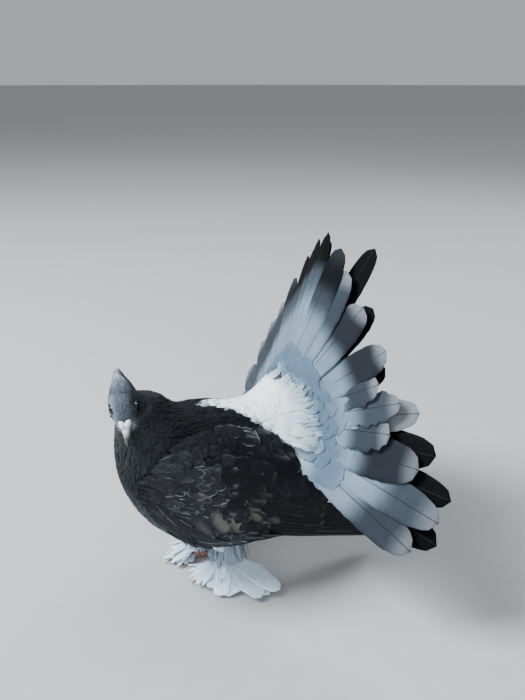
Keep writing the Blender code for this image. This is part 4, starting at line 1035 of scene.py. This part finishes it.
def tail(look, form):
    """The fan: two rows of long feathers, the coverts on its root and the fluff of the rump."""
    chance = np.random.default_rng(41)
    quill = {"ridge": 0.3, "thick": 0.4, "camber": 0.015, "blunt": 0.36, "neck": 0.3, "ragged": 0.05,
             "slant": 0.3, "shaft": 0.75, "wave": 0.35}
    soft = {"thick": 0.12, "camber": 0.03, "blunt": 0.55, "neck": 0.6, "ragged": 0.3, "wave": 0.2}
    front = fan_rows(FRONT_FEATHERS, 30.0, 28.5, (0.5, 2.8), 1.1, chance, **quill)
    for row, (turn, _) in zip(front, FRONT_FEATHERS):
        if turn in (57.5, 68.0, 78.0):
            row.update(ragged=0.3, wave=0.8, curl=2.0)
    rear = fan_rows(REAR_FEATHERS, 30.0, 26.0, (-1.9, -3.4), 1.0, chance, **quill)
    layers = [(LONG, lay(LONG, front, fan_chart), tail_tint(LONG, front, chance, False), 0.35),
              (LONG, lay(LONG, rear, fan_chart), tail_tint(LONG, rear, chance, True), 0.35)]
    # the coverts: five rows in front of the fan and two behind it, white at the root and bluer outwards
    for count, limit, share, start, width, lifts in (
            (15, 104, 1.0, 27, 25, (1.1, 2.6)), (17, 102, 0.88, 27, 21, (1.5, 3.0)),
            (19, 100, 0.76, 26, 17, (2.0, 3.4)), (26, 98, 0.67, 24, 12, (2.6, 3.8)),
            (34, 96, 0.6, 24, 9, (3.2, 4.2)), (14, 98, 0.95, 27, 24, (-3.2, -5.2)),
            (14, 92, 0.76, 25, 20, (-4.6, -6.8))):
        rows = []
        for i in range(count):
            turn = -limit + 2 * limit * i / (count - 1) + chance.uniform(-4, 4)
            reach = share * np.interp(abs(turn), (0, 20, 50, 80, 100), (60, 60, 70, 88, 84))
            reach = reach * chance.uniform(0.9, 1.08)
            wide = width * chance.uniform(0.85, 1.1)
            rows += fan_rows([(turn, reach)], start, wide, lifts, 0.2, chance, **soft)
        laid = lay(MEDIUM, rows, fan_chart)
        far = np.linalg.norm(laid["points"] - np.array(TAIL_AT), axis=-1)
        spread = np.interp(np.linspace(-limit, limit, count), (-100, -50, 50, 100), (1.25, 1, 1, 1.25))
        far = (far / spread[:, None])[..., None] + each(chance, -4, 4, count)
        tint = mix(linear(RUMP_WHITE), linear(RUMP_BLUE), ease(far, 24, 36))
        tint = mix(tint, linear(COVERT_BLUE), ease(far, 33, 47))
        tint = mix(tint, linear(TAIL_BLUE), ease(far, 52, 70))
        layers.append((MEDIUM, laid, tint * each(chance, 0.95, 1.05, count), 0.94))
    layers.append(fan_fluff(form, chance))
    plumage = Plumage()
    plumage.put_layers(layers)
    root = Shape(4, 24, False)
    turn, far = np.radians(root.v * 110), 26 + 20 * root.u
    high = np.where(root.under > 0.5, -1, 1) * (4.4 - 3 * root.u)
    plumage.line(root, fan_chart(np.sin(turn) * far, np.cos(turn) * far, high), RUMP_BLUE)
    plumage.make("tail_feathers", look, "blue_grey_plumage", ["tail_left", "tail_middle", "tail_right"])


# Head

def rounded(piece, levels):
    """Rounds a piece by subdivision."""
    rounding = piece.modifiers.new("rounding", "SUBSURF")
    rounding.levels = rounding.render_levels = levels


def move(shape, chart):
    """Takes every vertex to where a chart has it."""
    for vert, where in zip(shape.verts, chart([v.co[:] for v in shape.verts])):
        vert.co = where


def tube(shape, rings, closed):
    """Bridges rings of points into a tube, with flat ends if it is closed."""
    loops = []
    for ring in rings:
        verts = [shape.verts.new(p) for p in ring]
        loops.append([shape.edges.new((verts[k], verts[(k + 1) % len(verts)])) for k in range(len(verts))])
        if closed and (ring is rings[0] or ring is rings[-1]):
            shape.faces.new(verts)
    for first, second in zip(loops, loops[1:]):
        bmesh.ops.bridge_loops(shape, edges=first + second)


def refined(node, name, look, levels=2, fuller=0.0):
    """A node's own shape, merged and rounded by subdivision, made fuller first by some millimetres."""
    shape = bmesh.new()
    shape.from_mesh(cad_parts[node].data)
    bmesh.ops.remove_doubles(shape, verts=shape.verts[:], dist=1e-6)
    bmesh.ops.dissolve_limit(shape, angle_limit=math.radians(2), verts=shape.verts[:], edges=shape.edges[:])
    shape.normal_update()
    for vert in shape.verts:
        vert.co += vert.normal * fuller / 1000
    rounded(show(name, finished(shape, name), look, [node]), levels)


def eye(side):
    """An eyeball, most of it under the lids."""
    name = "eye_" + side + "_ball"
    shape = bmesh.new()
    bmesh.ops.create_uvsphere(shape, u_segments=40, v_segments=24, radius=BALL_RADIUS / 1000)
    centre = to_frame(head_points([(EYE_AT[0], SIGN[side] * BALL_OUT, EYE_AT[2])]))[0]
    bmesh.ops.translate(shape, vec=centre, verts=shape.verts[:])
    show(name, finished(shape, name), eye_look(side), ["eye_" + side])


def eyelids(side, look, form):
    """The bare ring round an eye, wrinkled like fine crepe: from the face up on to the eyeball."""
    name, sign = "eyelids_" + side, SIGN[side]
    shape = bmesh.new()
    # how far out each row lies: from just under the face (0) to the eyeball (1), and a little over
    rows = ((5.0, 0.0, -0.5), (4.7, 0.0, 0.15), (4.35, 0.35, 0.3), (3.95, 0.75, 0.35), (3.6, 1.0, 0.3),
            (3.2, 1.0, 0.0))
    inwards = Vector(HEAD_TURN @ np.array((0.0, -sign, 0.0)))
    rings = []
    for row, (reach, share, over) in enumerate(rows):
        ball = BALL_OUT + math.sqrt(BALL_RADIUS**2 - min(reach, LID_OUT)**2)
        rings.append([])
        for k in range(48):
            a = 2 * math.pi * k / 48
            slit = 0.84 + 0.06 * math.cos(2 * a)
            crease = 0.05 * math.sin(a * LID_FOLDS) * (1 if 0 < row < 5 else 0)
            x = EYE_AT[0] + math.cos(a) * (reach + crease)
            z = EYE_AT[2] + math.sin(a) * (reach + crease) * slit
            # the face is found from outside it, 11 mm from the head's middle plane
            start = Vector(head_points([(x, sign * 11.0, z)])[0])
            _, normal, _, far = form["inside"].ray_cast(start, inwards)
            face = min(max(11.0 - far, 5.5), 9.4) if far and normal.dot(inwards) < 0 else 9.0
            rings[-1].append((x, sign * (mix(face, max(ball, face), share) + over + crease), z))
    tube(shape, rings, False)
    bmesh.ops.recalc_face_normals(shape, faces=shape.faces[:])
    move(shape, lambda points: to_frame(head_points(points)))
    piece = show(name, finished(shape, name), look)
    wall = piece.modifiers.new("wall", "SOLIDIFY")
    wall.thickness, wall.offset = LID_WALL / 1000, -1
    rounded(piece, 1)


def crest(look, form):
    """The peak at the back of the crown: slim feathers all round it lean together to a point."""
    chance = np.random.default_rng(51)
    base, peak, side = np.array((-7.0, 0, 6.5)), np.array((-17.2, 0, 20.0)), np.array((0, 1.0, 0))
    axis = unit(peak - base)
    front = np.cross(side, axis)
    rows, feet, ways, ups, tints = [], [], [], [], []
    for reach, count in ((1.0, 44), (0.86, 40), (0.72, 36), (0.58, 30), (0.44, 24), (0.3, 18)):
        for i in range(count):
            turn = 2 * math.pi * (i + chance.uniform(0, 0.7)) / count
            up = front * math.cos(turn) + side * math.sin(turn)
            foot = base + front * (7.2 * reach * math.cos(turn)) + side * (8.4 * reach * math.sin(turn))
            crown, _ = nearest(form["inside"], head_points([foot]))
            foot = into_head(crown)[0] + axis * chance.uniform(-2.5, 1.5)
            tip = peak + front * (1.6 * reach * math.cos(turn)) + side * (2.6 * reach * math.sin(turn))
            tip = tip - axis * (7.5 * reach - 2.2 + chance.uniform(-0.8, 1.2))
            rows.append(feather(0, 0, 0, np.linalg.norm(tip - foot), 3.0 * chance.uniform(0.8, 1.15),
                                (0.0, 0.35), arch=0.9 * reach, thick=0.12, camber=0.12, blunt=0.8,
                                ragged=0.25, bend=chance.uniform(-0.12, 0.12)))
            feet.append(foot)
            ways.append(tip - foot)
            ups.append(up)
            # painted shade: the crest's left and rear side, turned from the key lamp, is darker
            painted_shade = float(ease(0.75 * math.sin(turn) - 0.65 * math.cos(turn), 0.1, 0.8))
            blue, dark = linear(HEAD_BLUE), linear(HEAD_DUSK_AND_SHADE)
            pale = mix(linear(CREST_PALE), blue, chance.uniform(0.2, 0.7))
            tints.append((mix(blue, dark, painted_shade), mix(pale, dark, painted_shade)))
    stood = standing(feet, ways, ups)

    tints = np.array(tints)[:, :, None]
    tint = mix(tints[:, 0], tints[:, 1], ease(SMALL.u, 0.3, 1.0)[None, :, None])
    laid = lay(SMALL, rows, lambda p, q, h: head_points(stood(p, q, h)))
    plumage = Plumage()
    plumage.put_layers([(SMALL, laid, tint, 0.6)])
    plumage.make("crest_feathers", look, "ash_blue_plumage", ["crest"])


# Feet

# Turn from the foot's own heading in degrees, and length
TOES = (("inner", -36.0, 15.0), ("middle", -8.0, 20.0), ("outer", 22.0, 16.0), ("hind", 188.0, 11.0))
TOE_RADIUS = 2.3
TOE_SCUTE, SHANK_SCUTE = 1.7, 2.2   # from one horny ring to the next


def heading(turn):
    """The level way at a turn in radians from the front, round to the bird's left."""
    return np.array((math.sin(turn), -math.cos(turn), 0))


def foot(side, look):
    """A scaled foot: four toes and a shank, ringed with scutes."""
    name, sign = "foot_" + side + "_skin", SIGN[side]
    x, y, yaw = FEET[side]
    shape = bmesh.new()
    for toe, turn, length in TOES:
        way = math.radians(yaw + sign * turn)
        aim, side_way = Vector(heading(way)), Vector((math.cos(way), math.sin(way), 0))
        rings = []
        count = int(length / 0.5)
        for i in range(count + 1):
            on = 0.5 + (length - 0.5) * i / count
            r = TOE_RADIUS * (0.92 if toe != "middle" else 1)
            r *= np.interp(i / count, (0, 0.25, 0.5, 0.75, 1), (1.12, 1.0, 1.08, 0.95, 0.78))
            scute = 0.16 * abs(math.sin(math.pi * on / TOE_SCUTE))
            ring = []
            for k in range(16):
                a = 2 * math.pi * (k + 0.5) / 16
                top = max(0.0, math.sin(a))
                rr = r - 0.16 + scute * top
                ring.append(Vector((x, y, 0)) + aim * on + side_way * (rr * math.cos(a))
                            + Vector((0, 0, 1)) * max(0.0, r * 0.78 + rr * math.sin(a)))
            rings.append(ring)
        tube(shape, rings, True)
    # the shank
    rings = []
    for i in range(33):
        z = 0.8 + (ANKLE + 1.5 - 0.8) * i / 32
        r = np.interp(z, (0.6, 4, 9, 15, 20), (3.0, 3.3, 2.9, 3.2, 4.2))
        r += 0.18 * abs(math.sin(math.pi * z / SHANK_SCUTE))
        rings.append([Vector((x + math.cos(a) * r, y + 1.5 * z / ANKLE + math.sin(a) * r * 1.1, z))
                      for a in (2 * math.pi * k / 20 for k in range(20))])
    tube(shape, rings, True)
    bmesh.ops.recalc_face_normals(shape, faces=shape.faces[:])
    move(shape, to_frame)
    show(name, finished(shape, name), look, ["foot_" + side])


def muffs(side, look):
    """The long feathers of a foot, fanned outwards in tiers from the shank to the floor, with
    short ones over the toes and soft ones hanging round the shank."""
    x, y, yaw = FEET[side]
    sign, full = SIGN[side], 1.0 if side == "left" else 0.88
    chance = np.random.default_rng(61 if side == "left" else 62)
    rows, feet, ways = [], [], []
    short = {"tilt": 0.0, "shaft": 0.0, "ridge": 0.0}

    def grow(start, end, width, **other):
        """Adds a feather from its foot to its tip."""
        feet.append(np.array(start, float))
        ways.append(np.array(end, float) - feet[-1])
        made = {"arch": 1.4, "tilt": 0.8 * sign, "thick": 0.3, "ridge": 0.15, "camber": 0.03, "blunt": 0.42,
                "neck": 0.3, "ragged": 0.16, "shaft": 0.18, "wave": 0.5,
                "bend": sign * chance.uniform(-0.05, 0.16)}
        made.update(other)
        rows.append(feather(0, 0, 0, np.linalg.norm(ways[-1]), width * chance.uniform(0.88, 1.12), (0, 0),
                            **made))

    for count, first, last, share, high, low in (
            (10, 44, 166, 1.0, 8.0, 1.3), (9, 40, 160, 0.84, 10.5, 2.8),
            (9, 32, 156, 0.66, 13.0, 4.8), (9, 20, 165, 0.5, 16.0, 6.5)):
        for i in range(count):
            turn = first + (last - first) * i / (count - 1) + chance.uniform(-6, 6)
            reach = np.interp(turn, (20, 45, 70, 95, 113, 127, 145, 170), (18, 25, 30, 35, 46, 46, 36, 24))
            reach *= share * chance.uniform(0.86, 1.04) * full
            aim = heading(math.radians(sign * turn))
            floor = low + chance.uniform(0, 2.0) + (1.8 if turn < 56 else 0)
            ankle = np.array((x, y + 1, high))
            grow(ankle + aim * 1.5, ankle * (1, 1, 0) + aim * reach + (0, 0, floor), 8.0 + reach * 0.17)
    # a pair of broad smooth ones lies over the rest
    for turn, reach, wide, floor in ((104, 44, 15, 4.5), (121, 49, 16, 6.0)):
        grow((x, y + 1, 17.5), (x, y + 1, floor) + heading(math.radians(sign * turn)) * reach * full, wide,
             arch=1.8, ragged=0.05, bend=0.0, wave=0.2)
    # slim pointed ones splay forwards
    for _ in range(26):
        aim = heading(math.radians(sign * chance.uniform(-40, 85)))
        start = (x, y + 0.5, chance.uniform(8, 15))
        grow(start, (x, y, chance.uniform(1.5, 6.5)) + aim * chance.uniform(15, 27), 4.6,
             arch=chance.uniform(0.5, 2.4), blunt=0.95, ragged=0.3, tilt=chance.uniform(-0.8, 0.8),
             camber=0.1)
    # short feathers along the tops of the toes
    for _, turn, length in TOES[:3]:
        way = math.radians(yaw + sign * turn)
        aim, off = heading(way), np.array((math.cos(way), math.sin(way), 0))
        for _ in range(16):
            on, out = chance.uniform(0, 0.6) * length, chance.uniform(-2.0, 2.0)
            start = np.array((x, y, 3.7 - 0.25 * out * out)) + aim * on + off * out
            grow(start, start + aim * chance.uniform(6, 9) + off * out * 0.8 - (0, 0, 0.3), 3.6,
                 arch=0.5, camber=0.12, **short)
    # soft feathers hanging round the shank
    for _ in range(150):
        aim = heading(chance.uniform(0, 2 * math.pi))
        high = chance.uniform(14, 36)
        start = np.array((x, y + 1.5 + 0.25 * max(0, high - 20), high))
        start += aim * (2.5 + max(0, high - 15) * 0.36)
        down = min(high - 9, chance.uniform(12, 20))
        grow(start, start + aim * chance.uniform(2.5, 6.5) - (0, 0, down), 3.7,
             arch=0.8, camber=0.08, ragged=0.5, blunt=0.9, **short)
    stood = standing(feet, ways, [(0, 0, 1.0)])

    def chart(p, q, h):
        """Keeps every feather above the floor."""
        made = stood(p, q, h)
        made[..., 2] = np.maximum(made[..., 2], 0.25)
        return made

    plumage = Plumage()
    high = ease(np.array(feet)[:, 2], 15, 28)[:, None, None]
    tint = mix(linear(MUFF_BLUE), linear(BELLY_GREY), high) * mix(0.9, 1.05, MEDIUM.u[None, :, None])
    tint = tint * each(chance, 0.85, 1.1, len(rows))
    plumage.put_layers([(MEDIUM, lay(MEDIUM, rows, chart), tint, 0.3)])
    plumage.make("muff_" + side, look, "blue_grey_plumage")


# The coat of the body

def under_wing(points):
    """True where a folded wing lies over the body."""
    t = WING_REACH * np.arctan2(points[:, 2] - wing_axis(points[:, 1]), np.abs(points[:, 0]))
    y = points[:, 1]
    return (y > -26) & (y < 40) & (t > -32) & (t < 26) & (np.abs(points[:, 0]) > 20)


def near_face(points, taller):
    """How far places lie from the eyes, seen from the side, from the bill's root, and out to a side."""
    local = into_head(points)
    eyes = np.hypot(local[:, 0] - EYE_AT[0], (local[:, 2] - EYE_AT[2]) * taller)
    return eyes, np.linalg.norm(local - np.array(BILL_ROOT), axis=1), np.abs(local[:, 1])


def clear_of_face(points):
    """True away from the eyes and the root of the bill."""
    eyes, bill, out = near_face(points, 1.1)
    return ((eyes > 4.0) | (out <= 2.5) | (out >= 11)) & (bill > 3.4)


def plumage_of_body(form, look, fine_look, pale_look):
    """The coat, piece by piece. Each of a piece's coats has its feather's shape, their spacing, length,
    width and lift in millimetres, the places where they grow, and a seed."""
    def zone(low, high):
        """Places from one share of the head to another, clear of eyes and bill."""
        return lambda p: ((head_share(p) >= low) & (head_share(p) < high) & ~under_wing(p)
                          & clear_of_face(p) & (p[:, 2] > 14))

    def close_to_face(p):
        """Places next to the eyes and the bill."""
        eyes, bill, out = near_face(p, 1.0)
        return clear_of_face(p) & (((eyes < 8.5) & (out > 4)) | (bill < 8.5)) & (head_share(p) > 0.3)

    def region(test):
        """Places of the body, clear of head, wings and toes, that pass a test."""
        return lambda p: (head_share(p) < 0.12) & ~under_wing(p) & (p[:, 2] > 19) & test(p)

    def white(p):
        """Places of the white wedge."""
        return white_back(p) > 0.5

    nape = region(lambda p: (p[:, 1] < NECK_BACK) & (p[:, 2] > NECK_FOOT) & ~white(p))
    front = region(lambda p: (p[:, 1] < NECK_BACK) & (p[:, 2] <= NECK_FOOT))
    sides = region(lambda p: (p[:, 1] >= NECK_BACK) & ~white(p))
    near_fan = region(lambda p: white(p) & (p[:, 1] > 22) & (p[:, 2] > 100))
    at_fan = region(lambda p: white(p) & (p[:, 1] > 36))
    loose = {"ragged": 0.4, "swing": 0.2, "wave": 0.1, "uneven": 0.07, "softness": 0.9}
    downy = {"ragged": 0.3, "uneven": 0.03, "softness": 0.97}
    for name, own_look, slot, coats in (
            ("head_coat", fine_look, "ash_blue_plumage", (
                (TINY, (0.95, 3.4, 1.6, 0.5), zone(0.8, 1.1), 71, {"softness": 0.6}),
                (TINY, (1.4, 5.5, 2.2, 0.7), zone(0.12, 0.8), 72, {"softness": 0.7}),
                (TINY, (1.5, 3.6, 2.6, 0.5), zone(0.01, 0.8), 78, {"softness": 0.7}),
                (TINY, (0.8, 1.9, 1.3, 0.35), close_to_face, 80, {"softness": 0.6}))),
            ("neck_coat", look, "slate_plumage", ((SLIM, (1.85, 9.0, 3.0, 0.8), nape, 73, {}),)),
            ("breast_coat", look, "slate_plumage", ((SLIM, (2.1, 10.0, 3.6, 0.9), front, 74, {}),)),
            ("body_coat", look, "slate_plumage", ((SLIM, (2.6, 12.0, 5.0, 1.1), sides, 75, {}),)),
            ("rump_coat", pale_look, "blue_grey_plumage", (
                (BODY, (3.0, 15.0, 6.5, 0.8), region(white), 76, loose),
                (SLIM, (1.6, 12.0, 3.0, 0.9), near_fan, 77, {**downy, "swing": 0.2, "wave": 0.2}),
                (SLIM, (2.0, 6.0, 4.0, 1.2), at_fan, 79, downy)))):
        plumage = Plumage()
        for shape, sizes, keep, seed, other in coats:
            coat(form, shape, plumage, *sizes, keep, seed, **other)
        plumage.make(name, own_look, slot)


# Studio

def stand(name, data, place, way):
    """A lamp or camera at a place, looking along a way."""
    holder = bpy.data.objects.new(name, data)
    holder.location = place
    holder.rotation_euler = way.to_track_quat("-Z", "Y").to_euler()
    bpy.context.scene.collection.objects.link(holder)
    return holder


def floor_look():
    """Plain pale paper, faintly mottled."""
    made, tree, shader, place = begin("pale_floor", {"Roughness": 0.75})
    grain = add(tree, "TexNoise", {"Scale": 60.0, "Detail": 3.0, "Vector": place})
    tone = add(tree, "MapRange", {0: grain, 3: 0.42, 4: 0.45})
    paper = add(tree, "CombineXYZ", {0: tone, 1: tone, 2: tone})
    tree.links.new(paper.outputs[0], shader.inputs["Base Color"])
    return made


def studio():
    """The floor, soft daylight from the upper left, and the camera of the photograph."""
    shape = bmesh.new()
    bmesh.ops.create_circle(shape, cap_ends=True, segments=96, radius=30.0)
    mesh = bpy.data.meshes.new("floor")
    shape.to_mesh(mesh)
    shape.free()
    mesh.materials.append(floor_look())
    floor = bpy.data.objects.new("floor", mesh)
    bpy.context.scene.collection.objects.link(floor)

    world = bpy.data.worlds.new("studio")
    world.use_nodes = True
    sky = world.node_tree.nodes["Background"].inputs
    sky[0].default_value, sky[1].default_value = (0.85, 0.88, 0.92, 1), 0.5
    bpy.context.scene.world = world

    aim = Vector((0, 0, 0.11))
    for name, at, size, power in (("key", (-0.5, -1.5, 1.9), 1.1, 142), ("fill", (1.5, -0.9, 0.7), 1.4, 20),
                                  ("rim", (-0.7, 1.5, 1.5), 1.0, 20)):
        lamp = bpy.data.lights.new(name, "AREA")
        lamp.size, lamp.energy = size, power
        lamp.color = (0.91, 0.97, 1.0)
        stand(name, lamp, at, aim - Vector(at))

    camera = bpy.data.cameras.new("camera")
    camera.sensor_width, camera.lens = 36.0, CAMERA_FOCUS
    turn, dip = math.radians(CAMERA_TURN), math.radians(CAMERA_DIP)
    ahead = Vector((-math.sin(turn) * math.cos(dip), math.cos(turn) * math.cos(dip), -math.sin(dip)))
    bpy.context.scene.camera = stand("camera", camera, to_frame(CAMERA_AT), ahead)


def main():
    """Makes the looks, then every piece, then the studio."""
    # barbs combed flat: slate on the body, soot with pale powder on the wings, dull blue-grey on fan and
    # feet, near white with a soft bloom on the rump, and finer ash blue on the head
    body_look = feather_look("slate_feathers", 1.3, 0.05, WING_LACE, 0.65, 0.0, 0.05)
    wing_look = feather_look("soot_feathers", 1.4, 0.05, WING_LACE, 0.62, 0.0, 0.13, 0.14)
    tail_look = feather_look("blue_grey_feathers", 1.5, 0.035, "c3ced8", 0.65, 0.0, 0.0, 0.06)
    pale_look = feather_look("white_feathers", 1.5, 0.02, RUMP_WHITE, 0.75, 0.2)
    fine_look = feather_look("ash_blue_feathers", 0.8, 0.05, HEAD_PALE_AND_LIGHT, 0.65, 0.05)
    # grown horn and skin: a pale waxy bill, a chalky soft cere, dull pink scaled feet, smooth dark claws
    # and dark creased lids
    horn = bill_look()
    wax = grained_look("chalky_cere", "efe8ea", "dcc6cc", 0.35, 0.7, 0.5, 0.25, 0.3)
    scales = grained_look("scaled_skin", "ad7f7c", "8f6563", 0.8, 0.5, 0.6, 0.15)
    claw_horn = grained_look("claw_horn", "4a4441", "2d2a29", 0.4, 0.35, 0.2)
    lid_skin = grained_look("lid_skin", "303135", "222226", 0.3, 0.55, 0.6, 0.2)

    form = skin()
    plumage_of_body(form, body_look, fine_look, pale_look)
    ys, ts = np.arange(-56.0, 149.0, 4.0), np.arange(-64.0, 73.0, 4.0)
    grid = wing_reaches(form, ys, ts)
    for side in ("left", "right"):
        wing(side, grid, ys, ts, wing_look)
        eye(side)
        eyelids(side, lid_skin, form)
        foot(side, scales)
        muffs(side, tail_look)
        for name, _, _ in TOES:
            refined(f"claw_{side}_{name}", f"claw_{side}_{name}_horn", claw_horn, 1)
    tail(tail_look, form)
    crest(fine_look, form)
    refined("bill_upper", "upper_bill", horn, fuller=0.15)
    refined("bill_lower", "lower_bill", horn, fuller=0.3)
    refined("cere", "cere_wax", wax, 1)
    studio()


main()
